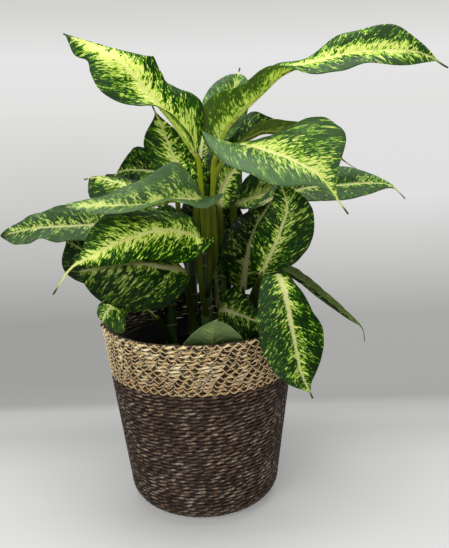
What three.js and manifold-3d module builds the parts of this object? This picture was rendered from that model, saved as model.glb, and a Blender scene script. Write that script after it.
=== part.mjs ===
import * as THREE from 'three';
import { mergeVertices } from 'three/addons/utils/BufferGeometryUtils.js';
import Module from 'manifold-3d';

// A dieffenbachia in its nursery pot, standing in a seagrass basket.
// Millimetres, +Z up. The origin is the middle of the basket's underside.

// Basket: two rope colours, coiled and stitched into one tapered wall.
const basketHeight = 195;
const rimRadius = 101;
const wallFootRadius = 78;
const floorRadius = 52;
const footHeight = 24;
const colourChange = 142;
const ropeThickness = 5;
const rowPitch = 10;
const rowRelief = 1.4;
const basketSides = 36;

// Nursery pot and the soil in it.
const potTopRadius = 86;
const potBaseRadius = 60;
const potHeight = 162;
const potWall = 1.6;
const potLip = 2.5;
const potSides = 28;
const drainHoleRadius = 5;
const drainHoleRing = 38;
const drainHoleCount = 6;
const soilTop = 150;
const soilCrown = 5;

// Canes, petioles and blades.
const caneRootDepth = 35;
const caneFootRadius = 7;
const caneTopRadius = 5;
const scarPitch = 22;
const scarRelief = 0.8;
const caneSides = 8;
const petioleRadius = 3;
const petioleSides = 5;
const petioleStep = 26;
const bladeThickness = 0.8;
const midribDepth = 2.6;
const stalkHalfWidth = 2;
const tipHalfWidth = 0.8;
const seatGap = 0.3;

// Stations along a blade and across it, as shares of its length and of its half width.
const alongBlade = [0, 0.08, 0.18, 0.3, 0.42, 0.54, 0.66, 0.78, 0.9, 1];
const acrossBlade = [-1, -0.5, 0, 0.5, 1];

const canes = [
  { name: 'cane_middle', x: 8, y: 0, top: 262 },
  { name: 'cane_right', x: 50, y: -8, top: 216 },
  { name: 'cane_left', x: -31, y: 17, top: 226 },
  { name: 'cane_back_right', x: 29, y: 44, top: 250 },
  { name: 'cane_back_left', x: -9, y: 57, top: 244 },
];

// Each leaf: rib runs from inside its cane to the tip, and the blade starts at rib point bladeAt.
// left and right hold the reach from the midrib to each edge, at even stations from base to tip.
// bulge lifts the middle of each half, wave is [height, count, phase] of the edge, belly is the share
// of the length where the blade is widest, drip is the share taken by the thin tip, and taper narrows the
// outer half: near nought leaves a blunt end, near one a long point.
const leaves = [
  {
    name: 'leaf_top_left', bladeAt: 3, belly: 0.5, drip: 0.02, taper: 0.1,
    rib: [[8, 0, 240], [8, 0, 262], [6, -2, 340], [2, -6, 360], [-15, -18, 388], [-38, -30, 418],
      [-67, -35, 451], [-114, -25, 474]],
    left: [[14, -24, 34], [4, -26, 24], [-4, -24, 19], [-8, -20, 8], [-16, -16, -5], [-22, -14, -13],
      [-26, -12, -17], [-23, -10, -16], [-13, -8, -16], [-16, -6, -27], [-5, -5, -26]],
    right: [[34, 8, 44], [33, 10, 55], [24, 14, 38], [18, 18, 22], [14, 22, 13], [17, 24, 10],
      [22, 26, 11], [31, 26, 1], [29, 24, -3], [30, 20, -6], [20, 16, -4]],
  },
  {
    name: 'leaf_top_right', bladeAt: 3, belly: 0.5, drip: 0.05, taper: 0.2,
    rib: [[9, 3, 238], [15, 8, 258], [18, 9, 330], [21, 8, 356], [33, 6, 384], [68, 0, 417],
      [95, -6, 437], [149, -25, 449], [205, -40, 448], [234, -45, 433]],
    left: [[-30, 22, 18], [-32, 22, 20], [-24, 22, 18], [-14, 20, 13], [-5, 18, 10], [2, 16, 5],
      [-2, 14, 17], [-5, 12, 24], [4, 10, 39], [-6, 8, 38], [0, 5, 36]],
    right: [[-46, -14, 30], [-45, -14, 28], [-36, -18, 20], [-20, -22, 9], [-12, -22, 7], [3, -24, -10],
      [2, -26, -14], [2, -24, -12], [2, -20, -22], [0, -12, -32], [0, -6, -28]],
  },
  {
    name: 'leaf_top_back', bladeAt: 3, belly: 0.55, drip: 0.08, taper: 0.1,
    rib: [[29, 44, 238], [27, 46, 262], [22, 38, 330], [22, 34, 361], [30, 50, 392], [42, 70, 420],
      [50, 84, 444]],
    left: [[-24, 0, 4], [-24, 0, 6], [-21, 0, 12], [-18, 0, 14]],
    right: [[28, 0, 2], [26, 0, 4], [20, 0, 10], [16, 0, 12]],
  },
  {
    name: 'leaf_right_broad', bladeAt: 3, belly: 0.5, drip: 0.06, taper: 0.75,
    rib: [[9, -2, 236], [18, -4, 256], [18, -5, 325], [28, -12, 352], [45, -24, 368], [71, -42, 363],
      [95, -56, 354], [117, -66, 339], [139, -80, 308]],
    left: [[0, 20, 10], [3, 22, 6], [5, 24, 4], [10, 21, 10], [18, 18, 23], [28, 14, 35], [34, 11, 38],
      [38, 7, 38], [18, 2, 20], [2, 0, 10], [0, 0, 10]],
    right: [[-60, -12, 56], [-52, -18, 38], [-44, -22, 4], [-34, -22, -12], [-20, -22, -17],
      [-12, -20, -22], [-4, -16, -18], [0, -12, -13], [0, -8, -10], [0, -4, -6], [0, 0, -5]],
  },
  {
    name: 'leaf_left_upright', bladeAt: 2, belly: 0.5, drip: 0.06, taper: 0.75,
    rib: [[6, 2, 225], [0, 10, 250], [0, 18, 308], [-12, 28, 334], [-23, 36, 359], [-35, 42, 391],
      [-42, 44, 407]],
    left: [[-28, 4, 4], [-28, 4, 4]],
    right: [[28, 4, -6], [28, 4, -6]],
  },
  {
    name: 'leaf_left_back', bladeAt: 3, belly: 0.55, drip: 0.06, taper: 0.75,
    rib: [[-31, 17, 212], [-24, 30, 240], [-20, 44, 290], [-26, 70, 332], [-46, 85, 336], [-81, 105, 337],
      [-98, 112, 329]],
    left: [[0, -20, -6], [0, -22, -8]],
    right: [[0, 12, 24], [0, 12, 24], [-5, 12, 25], [-2, 12, 21], [-3, 8, 18]],
  },
  {
    name: 'leaf_left_short', bladeAt: 2, belly: 0.55, drip: 0.06, taper: 0.1,
    rib: [[-31, 17, 195], [-40, 27, 235], [-44, 32, 300], [-72, 45, 325], [-92, 50, 332], [-107, 54, 335],
      [-119, 54, 333]],
    left: [[-2, -12, -20], [-2, -12, -22], [-8, -12, -24], [-20, -10, -23], [-14, -8, -28]],
    right: [[0, 22, 4], [0, 22, 4], [0, 20, 3], [0, 16, 0], [0, 10, 0]],
  },
  {
    name: 'leaf_left_level', bladeAt: 3, belly: 0.35, drip: 0, taper: 0.1,
    rib: [[8, -2, 214], [12, -12, 240], [12, -11, 300], [9, -14, 315], [-20, -30, 319], [-44, -40, 316],
      [-78, -50, 318], [-121, -60, 319]],
    left: [[60, -24, 30], [22, -26, -5], [7, -26, 1], [3, -26, 6], [2, -24, 3], [3, -24, 0], [3, -22, -4],
      [1, -20, -7], [0, -16, -7], [0, -12, -5], [0, -6, -6]],
    right: [[-6, 5, 24], [4, 15, 35], [0, 22, 22], [-4, 22, 10], [-6, 15, 12]],
  },
  {
    name: 'leaf_left_far', bladeAt: 3, belly: 0.5, drip: 0, taper: 0.1, wave: [1.5, 5, 0],
    rib: [[-32, 17, 188], [-46, 5, 230], [-50, 5, 268], [-62, 5, 287], [-87, 5, 291], [-131, 0, 292],
      [-164, -5, 291], [-194, -10, 286]],
    left: [[0, -15, -14], [0, -15, -14], [0, -15, -14], [-2, -14, -13], [-4, -12, -12], [-4, -12, -12],
      [-2, -12, -12], [-2, -12, -10], [-2, -13, -17], [-2, -12, -22], [0, -10, -14]],
    right: [[0, 14, 20], [0, 14, 20], [0, 14, 19], [0, 14, 16], [0, 10, 16]],
  },
  {
    name: 'leaf_left_broad', bladeAt: 3, belly: 0.5, drip: 0.19, taper: 0.75,
    rib: [[7, -4, 196], [4, -15, 222], [3, -18, 262], [4, -20, 276], [-7, -27, 285], [-33, -44, 293],
      [-69, -60, 285], [-102, -70, 271], [-115, -74, 263], [-130, -80, 242]],
    left: [[90, -30, 30], [20, -14, -34], [8, -12, -36], [4, -11, -28], [4, -10, -20], [5, -10, -19],
      [5, -8, -20], [5, -6, -22], [5, -4, -20], [5, -2, -14], [5, 0, -10]],
    right: [[9, 20, 32], [0, 26, 15], [-16, 24, 24], [-22, 10, 18], [-10, 0, 10]],
  },
  {
    name: 'leaf_left_drooping', bladeAt: 2, belly: 0.5, drip: 0.04, taper: 0.2,
    rib: [[6, -2, 166], [-9, -13, 206], [-10, -30, 246], [-34, -50, 259], [-60, -58, 265],
      [-87, -62, 262], [-113, -62, 258]],
    left: [[24, -12, -16], [6, -12, -40], [3, -10, -41], [-3, -8, -45], [-6, -4, -56]],
    right: [[-10, 22, 10], [0, 26, 8], [0, 26, 8]],
  },
  {
    name: 'leaf_left_curled', bladeAt: 1, belly: 0.5, drip: 0.14, taper: 0.75,
    rib: [[-32, 16, 175], [-56, 12, 225], [-82, 14, 249], [-111, 10, 261], [-122, 8, 269], [-134, 5, 279],
      [-130, 4, 291]],
    left: [[-10, -5, -24], [-26, -5, -22], [-56, -5, -8]],
    right: [[-2, 5, 20], [-2, 5, 20]],
  },
  {
    name: 'leaf_rim_left', bladeAt: 1, belly: 0.6, drip: 0.06, taper: 0.1,
    rib: [[-31, 16, 160], [-42, -20, 200], [-55, -45, 220], [-72, -61, 227], [-82, -76, 224],
      [-87, -88, 213]],
    left: [[0, -4, -4], [0, -6, -5], [-2, -8, -7], [12, -8, -28], [20, -8, -42]],
    right: [[-8, 8, 0], [-8, 8, 0], [-8, 8, 2], [-13, 8, 2], [-20, 4, -4]],
  },
  {
    name: 'leaf_rim_front', bladeAt: 1, belly: 0.55, drip: 0.06, taper: 0.2,
    rib: [[9, -1, 160], [13, -36, 170], [14, -78, 190], [17, -88, 212], [22, -91, 219]],
    left: [[28, 0, 2], [28, 0, 2]],
    right: [[-28, 0, -2], [-28, 0, -2]],
  },
  {
    name: 'leaf_rim_middle', bladeAt: 1, belly: 0.5, drip: 0.06, taper: 0.75,
    rib: [[9, 0, 178], [20, -12, 200], [27, -32, 209], [43, -50, 208], [54, -60, 206], [70, -70, 204]],
    left: [[2, 8, 20], [2, 8, 20]],
    right: [[-2, -8, -26], [-2, -8, -26]],
  },
  {
    name: 'leaf_rim_right', bladeAt: 2, belly: 0.5, drip: 0.05, taper: 0.3, wave: [1, 4, 0],
    rib: [[50, -8, 165], [62, -38, 215], [70, -58, 244], [76, -74, 252], [81, -90, 239], [87, -98, 205],
      [94, -98, 168], [105, -96, 140]],
    left: [[14, 4, 0], [14, 4, 0], [15, 4, -2], [18, 4, -2], [21, 4, -2], [26, 4, 0], [27, 4, 0],
      [28, 4, 2], [25, 4, 0], [17, 4, -2], [12, 4, 0]],
    right: [[-22, 4, 0], [-22, 4, -2], [-24, 4, -4], [-26, 4, -4], [-27, 4, -3], [-29, 4, -2],
      [-32, 4, -2], [-33, 4, -4], [-37, 4, -9], [-40, 4, -12], [-24, 0, 0]],
  },
  {
    name: 'leaf_right_narrow', bladeAt: 1, belly: 0.45, drip: 0.06, taper: 0.75,
    rib: [[50, -8, 190], [68, 0, 234], [87, 3, 236], [104, 5, 226], [122, 8, 210], [153, 12, 185],
      [170, 15, 172], [174, 15, 156]],
    left: [[3, -14, 4], [3, -14, 4]],
    right: [[3, 20, 10], [3, 20, 7], [5, 20, 9]],
  },
  {
    name: 'leaf_right_back', bladeAt: 3, belly: 0.4, drip: 0.12, taper: 0.75,
    rib: [[29, 44, 222], [37, 52, 255], [38, 56, 320], [43, 62, 360], [63, 75, 373], [82, 85, 376],
      [127, 105, 367], [169, 122, 339], [190, 128, 325]],
    left: [[-30, 12, 16], [-16, 12, 20], [-8, 12, 24], [-4, 12, 16], [-2, 12, 10], [0, 12, 9], [0, 12, 8],
      [0, 12, 8], [0, 12, 10], [0, 12, 10], [0, 12, 8]],
    right: [[0, -20, 14], [0, -20, 14]],
  },
  {
    name: 'leaf_right_far', bladeAt: 3, belly: 0.5, drip: 0.08, taper: 0.75,
    rib: [[29, 44, 176], [48, 42, 235], [57, 34, 272], [66, 28, 303], [110, 35, 318], [147, 42, 320],
      [184, 48, 321], [207, 50, 317], [222, 50, 303]],
    left: [[0, 14, 20], [0, 14, 19], [0, 14, 13]],
    right: [[0, -20, -11], [0, -20, -12], [0, -18, -20]],
  },
  {
    name: 'leaf_right_oval', bladeAt: 2, belly: 0.45, drip: 0.06, taper: 0.75,
    rib: [[50, -8, 198], [54, -28, 222], [62, -40, 245], [72, -50, 269], [81, -53, 292], [87, -49, 314],
      [78, -38, 343]],
    left: [[-20, 4, 8], [-20, 4, 6], [-22, 4, 0], [-26, 4, 0]],
    right: [[30, 2, -6], [32, 2, -2], [29, 2, 4], [34, 2, 4]],
  },
  {
    name: 'leaf_right_inner', bladeAt: 2, belly: 0.5, drip: 0.06, taper: 0.75,
    rib: [[50, -8, 180], [45, -10, 213], [45, -14, 224], [48, -26, 252], [52, -32, 273], [61, -32, 296],
      [79, -18, 318]],
    left: [[-28, 0, 2], [-26, 0, 2], [-30, 0, 12]],
    right: [[24, 0, -4], [24, 0, -4]],
  },
  {
    name: 'leaf_right_hidden', bladeAt: 3, belly: 0.45, drip: 0.06, taper: 0.75,
    rib: [[29, 44, 208], [34, 31, 242], [38, 36, 285], [42, 40, 302], [63, 54, 309], [89, 66, 315],
      [117, 76, 321]],
    left: [[0, 6, 28], [0, 6, 28]],
    right: [[0, -18, -8], [0, -18, -8]],
  },
  {
    name: 'leaf_middle_small', bladeAt: 2, belly: 0.45, drip: 0.06, taper: 0.75,
    rib: [[29, 44, 234], [24, 26, 272], [24, 14, 305], [27, 20, 322], [38, 35, 338], [52, 50, 349]],
    left: [[-10, 0, 10], [-10, 0, 10]],
    right: [[12, 0, -14], [12, 0, -14]],
  },
  {
    name: 'leaf_back_top', bladeAt: 1, belly: 0.45, drip: 0.06, taper: 0.75, wave: [2, 3, 0.2],
    rib: [[-8, 56, 240], [0, 70, 320], [8, 115, 372], [14, 165, 366], [16, 200, 330]],
    left: [[-34, 0, 6], [-34, 0, 0]],
    right: [[34, 0, 6], [34, 0, 0]],
  },
  {
    name: 'leaf_back_left', bladeAt: 1, belly: 0.45, drip: 0.06, taper: 0.75, wave: [2, 3, 0.5],
    rib: [[-10, 57, 225], [-40, 105, 292], [-70, 140, 322], [-105, 168, 316], [-130, 182, 284]],
    left: [[-16, -26, 8], [-16, -26, 8]],
    right: [[18, 26, 10], [18, 26, 10]],
  },
  {
    name: 'leaf_back_right', bladeAt: 1, belly: 0.45, drip: 0.06, taper: 0.75, wave: [2, 3, 0.1],
    rib: [[30, 48, 215], [62, 80, 300], [92, 112, 328], [126, 138, 318], [146, 152, 296]],
    left: [[-18, 24, 10], [-18, 24, 10]],
    right: [[18, -26, 8], [18, -26, 8]],
  },
  {
    name: 'leaf_back_middle', bladeAt: 1, belly: 0.45, drip: 0.06, taper: 0.75, wave: [2, 4, 0.3],
    rib: [[-8, 58, 205], [0, 95, 262], [4, 130, 282], [6, 165, 262], [8, 185, 225]],
    left: [[-32, 0, 8], [-32, 0, 8]],
    right: [[32, 0, 8], [32, 0, 8]],
  },
  {
    name: 'leaf_back_low_left', bladeAt: 1, belly: 0.45, drip: 0.06, taper: 0.75, wave: [2, 3, 0.7],
    rib: [[-10, 57, 185], [-42, 62, 248], [-52, 74, 280], [-74, 104, 284], [-98, 126, 252]],
    left: [[-16, -16, 8], [-16, -16, 8]],
    right: [[30, -4, 12], [30, -4, 12]],
  },
  {
    name: 'leaf_back_low_right', bladeAt: 1, belly: 0.45, drip: 0.06, taper: 0.75, wave: [2, 3, 0.4],
    rib: [[29, 47, 185], [52, 85, 240], [70, 112, 262], [88, 138, 250], [96, 152, 218]],
    left: [[-18, 16, 8], [-18, 16, 8]],
    right: [[18, -16, 8], [18, -16, 8]],
  },
  {
    name: 'leaf_back_rim', bladeAt: 1, belly: 0.45, drip: 0.06, taper: 0.75, wave: [1.5, 4, 0.1],
    rib: [[-9, 57, 165], [-20, 90, 212], [-26, 112, 218], [-32, 128, 190], [-34, 132, 152]],
    left: [[-28, 0, 6], [-28, 0, 6]],
    right: [[28, 0, 6], [28, 0, 6]],
  },
  {
    name: 'leaf_back_stems', bladeAt: 1, belly: 0.45, drip: 0.06, taper: 0.3, wave: [2, 3, 0.6],
    rib: [[27, 45, 168], [20, 58, 184], [17, 68, 220], [12, 84, 268], [7, 92, 312], [-4, 104, 348]],
    left: [[-2, 0, 6], [-32, 0, 4], [-30, 0, 2]],
    right: [[8, -4, 4], [40, -4, 2], [46, -4, 2]],
  },
];

const wasm = await Module();
wasm.setup();

// A closed geometry as a solid that can be joined and cut.
function solid(geometry) {
  const bare = geometry.clone();
  bare.deleteAttribute('normal');
  bare.deleteAttribute('uv');
  const merged = mergeVertices(bare, 1e-4);
  const index = [];
  for (let i = 0; i < merged.index.count; i += 3) {
    const [a, b, c] = [0, 1, 2].map((k) => merged.index.getX(i + k));
    if (a !== b && b !== c && c !== a) index.push(a, b, c);
  }
  return new wasm.Manifold(new wasm.Mesh({
    numProp: 3,
    vertProperties: new Float32Array(merged.attributes.position.array),
    triVerts: new Uint32Array(index),
  }));
}

// A solid back as a geometry.
function geometryOf(body) {
  const mesh = body.getMesh();
  const geometry = new THREE.BufferGeometry();
  geometry.setAttribute('position', new THREE.BufferAttribute(new Float32Array(mesh.vertProperties), 3));
  geometry.setIndex(new THREE.BufferAttribute(new Uint32Array(mesh.triVerts), 1));
  return geometry;
}

// A profile of [radius, height] points turned round +Z.
function turned(profile, sides) {
  const points = profile.map(([radius, height]) => new THREE.Vector2(radius, height));
  return new THREE.LatheGeometry(points, sides).rotateX(Math.PI / 2);
}

// Basket wall outside: a quarter ellipse at the foot, then a straight taper up to the rim.
function basketRadius(z) {
  if (z >= footHeight) {
    return wallFootRadius + (rimRadius - wallFootRadius) * (z - footHeight) / (basketHeight - footHeight);
  }
  return floorRadius + (wallFootRadius - floorRadius) * Math.sqrt(1 - (1 - z / footHeight) ** 2);
}

// Outside of the rope rows from one height to another: a groove under each row and its crest half way up.
function ropeRows(from, to) {
  const rows = Math.round((to - from) / rowPitch);
  const points = [];
  for (let row = 0; row < rows; row += 1) {
    const low = from + (to - from) * row / rows;
    const crest = from + (to - from) * (row + 0.5) / rows;
    points.push([basketRadius(low) - (low > 0 ? rowRelief : 0), low], [basketRadius(crest), crest]);
  }
  points.push([basketRadius(to) - rowRelief, to]);
  return points;
}

function darkBasket() {
  const top = colourChange - seatGap / 2;
  const inside = [top, footHeight, 14].map((z) => [basketRadius(z) - ropeThickness - rowRelief, z]);
  return turned([[0, 0], ...ropeRows(0, top), ...inside, [basketRadius(6) - 8, 6], [0, 6]], basketSides);
}

function strawBand() {
  const from = colourChange + seatGap / 2;
  const outside = ropeRows(from, basketHeight);
  const inside = [basketHeight, from].map((z) => [basketRadius(z) - ropeThickness - rowRelief, z]);
  return turned([...outside, ...inside, outside[0]], basketSides);
}

// Nursery pot: a thin tapered cup with a rolled lip and drain holes in its base.
const potBottom = 6 + seatGap;
const potRadius = (z) => potBaseRadius + (potTopRadius - potBaseRadius) * (z - potBottom) / potHeight;

function nurseryPot() {
  const top = potBottom + potHeight;
  const cup = solid(turned([
    [0, potBottom], [potBaseRadius, potBottom], [potTopRadius, top - 6], [potTopRadius + potLip, top - 6],
    [potTopRadius + potLip, top], [potTopRadius - potWall, top],
    [potBaseRadius - potWall, potBottom + potWall], [0, potBottom + potWall],
  ], potSides));
  const holes = Array.from({ length: drainHoleCount }, (_, k) => {
    const turn = 2 * Math.PI * k / drainHoleCount;
    const drill = new THREE.CylinderGeometry(drainHoleRadius, drainHoleRadius, 10, 10).rotateX(Math.PI / 2);
    return solid(drill.translate(drainHoleRing * Math.cos(turn), drainHoleRing * Math.sin(turn), potBottom));
  });
  return geometryOf(holes.reduce((cut, hole) => cut.subtract(hole), cup));
}

// Cane: a tapered stem with a raised scar where each old leaf has dropped.
function caneGeometry({ x, y, top }, grow = 0) {
  const foot = soilTop - caneRootDepth;
  const radius = (z) => grow + caneFootRadius + (caneTopRadius - caneFootRadius) * (z - foot) / (top - foot);
  const profile = [[0, foot - grow], [radius(foot), foot - grow]];
  for (let z = foot + scarPitch; z < top - scarPitch / 2; z += scarPitch) {
    profile.push([radius(z - 3), z - 3], [radius(z) + scarRelief, z], [radius(z + 3), z + 3]);
  }
  profile.push([radius(top), top + grow], [0, top + grow]);
  return turned(profile, caneSides).translate(x, y, 0);
}

function soilBody() {
  const inset = potWall + 2 * seatGap;
  const base = potBottom + inset;
  const edge = potRadius(soilTop) - inset - 1;
  const heap = turned([
    [0, base], [potRadius(base) - inset, base], [edge, soilTop],
    [edge * 0.66, soilTop + soilCrown * 0.3], [edge * 0.33, soilTop + soilCrown * 0.9], [0, soilTop + soilCrown],
  ], potSides);
  return geometryOf(canes.reduce((cut, cane) => cut.subtract(solid(caneGeometry(cane, seatGap))), solid(heap)));
}

const vector = (p) => new THREE.Vector3(...p);
const smoothCurve = (points) => new THREE.CatmullRomCurve3(points.map(vector), false, 'catmullrom', 0.5);

// Half width as a share of the reach: a sine whose peak sits at the belly, raised to a power that grows by taper.
function bladeShare(u, belly, drip, taper) {
  const along = Math.min(1, u / (1 - drip));
  const swell = Math.max(0, Math.sin(Math.PI * along ** (Math.log(0.5) / Math.log(belly))));
  return swell ** (0.62 + taper * along ** 2);
}

// Blade upper surface: midrib point, plus the reach times share and width, plus a narrow strip that keeps the
// ends of the blade open, plus bulge and wave along the normal.
function bladePoint(leaf, midrib, heading, u, across) {
  const left = smoothCurve(leaf.left).getPoint(u);
  const right = smoothCurve(leaf.right).getPoint(u);
  const side = across < 0 ? 0 : 1;
  const reach = side ? right : left;
  const normal = reach.clone().multiplyScalar(side ? 1 : -1).cross(heading).normalize();
  const settled = Math.max(u, 0.1);
  const level = smoothCurve(leaf.right).getPoint(settled).sub(smoothCurve(leaf.left).getPoint(settled));
  level.addScaledVector(heading, -level.dot(heading)).normalize();
  const share = bladeShare(u, leaf.belly, leaf.drip, leaf.taper);
  const width = Math.abs(across);
  const strip = stalkHalfWidth + (tipHalfWidth - stalkHalfWidth) * u;
  const [height, count, phase] = leaf.wave ?? [0, 0, 0];
  const ripple = height * width ** 2 * Math.min(1, 1.5 * share)
    * Math.sin(2 * Math.PI * (count * u + phase + 0.35 * side));
  const lift = 4 * width * (1 - width) * (leaf.bulge ?? [2, 2])[side] * share + ripple;
  return midrib.clone().addScaledVector(reach, share * width).addScaledVector(level, strip * across)
    .addScaledVector(normal, lift);
}

// The rib as a dense run of points from the cane to the tip, with the running length of its blade part.
function ribRun(leaf) {
  const curve = smoothCurve(leaf.rib);
  const spans = leaf.rib.length - 1;
  const perSpan = 60;
  const points = curve.getPoints(spans * perSpan).slice(leaf.bladeAt * perSpan);
  const lengths = [0];
  for (let i = 1; i < points.length; i += 1) lengths.push(lengths[i - 1] + points[i].distanceTo(points[i - 1]));
  const at = (share) => {
    const goal = share * lengths[lengths.length - 1];
    const i = Math.max(1, lengths.findIndex((length) => length >= goal - 1e-9));
    return points[i - 1].clone().lerp(points[i], (goal - lengths[i - 1]) / (lengths[i] - lengths[i - 1]));
  };
  return at;
}

// Blade: the upper surface and the same grid set down by its thickness, closed round the edge.
function bladeGeometry(leaf) {
  const at = ribRun(leaf);
  const upper = alongBlade.map((u) => {
    const heading = at(Math.min(1, u + 0.02)).sub(at(Math.max(0, u - 0.02))).normalize();
    return acrossBlade.map((across) => bladePoint(leaf, at(u), heading, u, across));
  });
  const last = [upper.length - 1, acrossBlade.length - 1];
  const middle = (acrossBlade.length - 1) / 2;
  const lower = upper.map((row, i) => row.map((point, j) => {
    const along = upper[Math.min(last[0], i + 1)][j].clone().sub(upper[Math.max(0, i - 1)][j]);
    const span = row[Math.min(last[1], j + 1)].clone().sub(row[Math.max(0, j - 1)]);
    const ridge = midribDepth * (1 - alongBlade[i]) * Math.min(1, 6 * alongBlade[i]);
    const depth = bladeThickness + (j === middle ? ridge : 0);
    return point.clone().addScaledVector(span.cross(along).normalize(), -depth);
  }));
  const columns = acrossBlade.length;
  const below = upper.length * columns;
  const index = [];
  for (let i = 0; i < last[0]; i += 1) {
    for (let j = 0; j < last[1]; j += 1) {
      const [a, b] = [i * columns + j, i * columns + j + 1];
      const [c, d] = [b + columns, a + columns];
      index.push(a, b, c, a, c, d, below + a, below + c, below + b, below + a, below + d, below + c);
    }
  }
  const edge = [];
  for (let j = 0; j < last[1]; j += 1) edge.push(j);
  for (let i = 0; i < last[0]; i += 1) edge.push(i * columns + last[1]);
  for (let j = last[1]; j > 0; j -= 1) edge.push(last[0] * columns + j);
  for (let i = last[0]; i > 0; i -= 1) edge.push(i * columns);
  edge.forEach((p, k) => {
    const q = edge[(k + 1) % edge.length];
    index.push(q, p, below + p, q, below + p, below + q);
  });
  const geometry = new THREE.BufferGeometry();
  const positions = [...upper.flat(), ...lower.flat()].flatMap((point) => point.toArray());
  geometry.setAttribute('position', new THREE.Float32BufferAttribute(positions, 3));
  geometry.setIndex(index);
  return geometry;
}

// Petiole: a round stalk from inside the cane to just past the start of the blade.
function petioleGeometry(leaf) {
  const curve = smoothCurve(leaf.rib);
  const spans = leaf.rib.length - 1;
  const stalk = curve.getPoints(spans * 20).slice(0, leaf.bladeAt * 20 + 1);
  stalk.push(ribRun(leaf)(0.05));
  const path = new THREE.CatmullRomCurve3(stalk);
  const ring = new THREE.Shape(Array.from({ length: petioleSides }, (_, k) => {
    const turn = 2 * Math.PI * k / petioleSides;
    return new THREE.Vector2(petioleRadius * Math.cos(turn), petioleRadius * Math.sin(turn));
  }));
  const steps = Math.max(3, Math.round(path.getLength() / petioleStep));
  return new THREE.ExtrudeGeometry(ring, { steps, bevelEnabled: false, extrudePath: path });
}

function leafBody(leaf) {
  const stems = canes.map((cane) => solid(caneGeometry(cane, seatGap)));
  const whole = solid(bladeGeometry(leaf)).add(solid(petioleGeometry(leaf)));
  const pieces = stems.reduce((cut, stem) => cut.subtract(stem), whole).decompose();
  return geometryOf(pieces.reduce((most, piece) => (piece.volume() > most.volume() ? piece : most)));
}

const finish = {
  straw: { color: '#b08d57', roughness: 0.9 },
  darkRope: { color: '#55433a', roughness: 0.85 },
  pot: { color: '#1b1b1c', roughness: 0.5 },
  soil: { color: '#241a13', roughness: 1 },
  cane: { color: '#5f7a32', roughness: 0.6 },
  leaf: { color: '#4f8a2c', roughness: 0.45 },
};

const plant = new THREE.Group();

function addPiece(name, geometry, look) {
  const piece = new THREE.Mesh(geometry, new THREE.MeshStandardMaterial({ ...look, metalness: 0 }));
  piece.name = name;
  plant.add(piece);
}

addPiece('basket_dark_rope', darkBasket(), finish.darkRope);
addPiece('basket_straw_band', strawBand(), finish.straw);
addPiece('nursery_pot', nurseryPot(), finish.pot);
addPiece('soil', soilBody(), finish.soil);
for (const cane of canes) addPiece(cane.name, caneGeometry(cane), finish.cane);
for (const leaf of leaves) addPiece(leaf.name, leafBody(leaf), finish.leaf);

export default plant;
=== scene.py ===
# A potted dieffenbachia: flecked leaves on green canes, in a nursery pot inside a coiled rope basket.
import math
from functools import partial
import bpy
import numpy as np
from mathutils import Matrix, Vector


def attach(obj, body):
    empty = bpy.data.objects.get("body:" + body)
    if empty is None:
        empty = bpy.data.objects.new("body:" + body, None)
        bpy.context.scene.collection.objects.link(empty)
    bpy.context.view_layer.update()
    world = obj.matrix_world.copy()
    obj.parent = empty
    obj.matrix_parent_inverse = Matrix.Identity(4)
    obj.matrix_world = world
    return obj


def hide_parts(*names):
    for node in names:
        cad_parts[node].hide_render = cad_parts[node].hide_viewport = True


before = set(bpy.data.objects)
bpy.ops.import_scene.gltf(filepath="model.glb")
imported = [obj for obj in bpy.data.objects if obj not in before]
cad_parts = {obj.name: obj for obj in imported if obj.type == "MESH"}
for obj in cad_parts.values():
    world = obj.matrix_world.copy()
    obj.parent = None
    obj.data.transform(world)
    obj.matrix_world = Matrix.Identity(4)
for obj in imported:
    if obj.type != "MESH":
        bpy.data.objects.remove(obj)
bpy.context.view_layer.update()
mm = 0.001  # shapes are worked out in millimetres, and meshes are in metres
uvNames = ("blade", "veins")  # layers that become UV maps; the others become attributes
smooth = {"interpolation_type": "SMOOTHSTEP"}  # for a range that eases in and out
asColour = {"out": 2, "data_type": "RGBA"}  # for a mix of colours: its factor is socket 0, they are 6 and 7


def linearColour(hexCode):
    # an sRGB hex value as linear red, green, blue and alpha
    parts = [int(hexCode[i:i + 2], 16) / 255 for i in (1, 3, 5)]
    return [c / 12.92 if c <= 0.04045 else ((c + 0.055) / 1.055) ** 2.4 for c in parts] + [1.0]


def addNode(tree, kind, inputs=(), out=0, stops=(), **settings):
    # inputs, a list or a dict by socket, are values, hex colours or other nodes' outputs; stops are a
    # colour ramp's (position, hex colour); the result is the output named by out, or the node itself where
    # out is None
    node = tree.nodes.new("ShaderNode" + kind)
    for name, value in settings.items():
        setattr(node, name, value)
    for socket, value in inputs.items() if isinstance(inputs, dict) else enumerate(inputs):
        if isinstance(value, bpy.types.NodeSocket):
            tree.links.new(value, node.inputs[socket])
        else:
            node.inputs[socket].default_value = linearColour(value) if isinstance(value, str) else value
    if stops:
        elements = node.color_ramp.elements
        while len(elements) < len(stops):
            elements.new(0.5)
        for element, (position, hexCode) in zip(elements, stops):
            element.position = position
            element.color = linearColour(hexCode)
    return node if out is None else node.outputs[out]


def clearNodes(owner):
    # empties the node tree of a material or a world, and returns the function that adds nodes to it
    owner.use_nodes = True
    owner.node_tree.nodes.clear()
    return partial(addNode, owner.node_tree)


def gridFaces(rows, columns, wrapRows=False, wrapColumns=False):
    # quads of a grid of rows by columns points, which may close on itself either way
    i, j = np.meshgrid(np.arange(rows if wrapRows else rows - 1),
                       np.arange(columns if wrapColumns else columns - 1), indexing="ij")
    i, j = i.ravel(), j.ravel()
    k, m = (i + 1) % rows, (j + 1) % columns
    return np.stack([i * columns + j, k * columns + j, k * columns + m, i * columns + m], 1)


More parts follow.
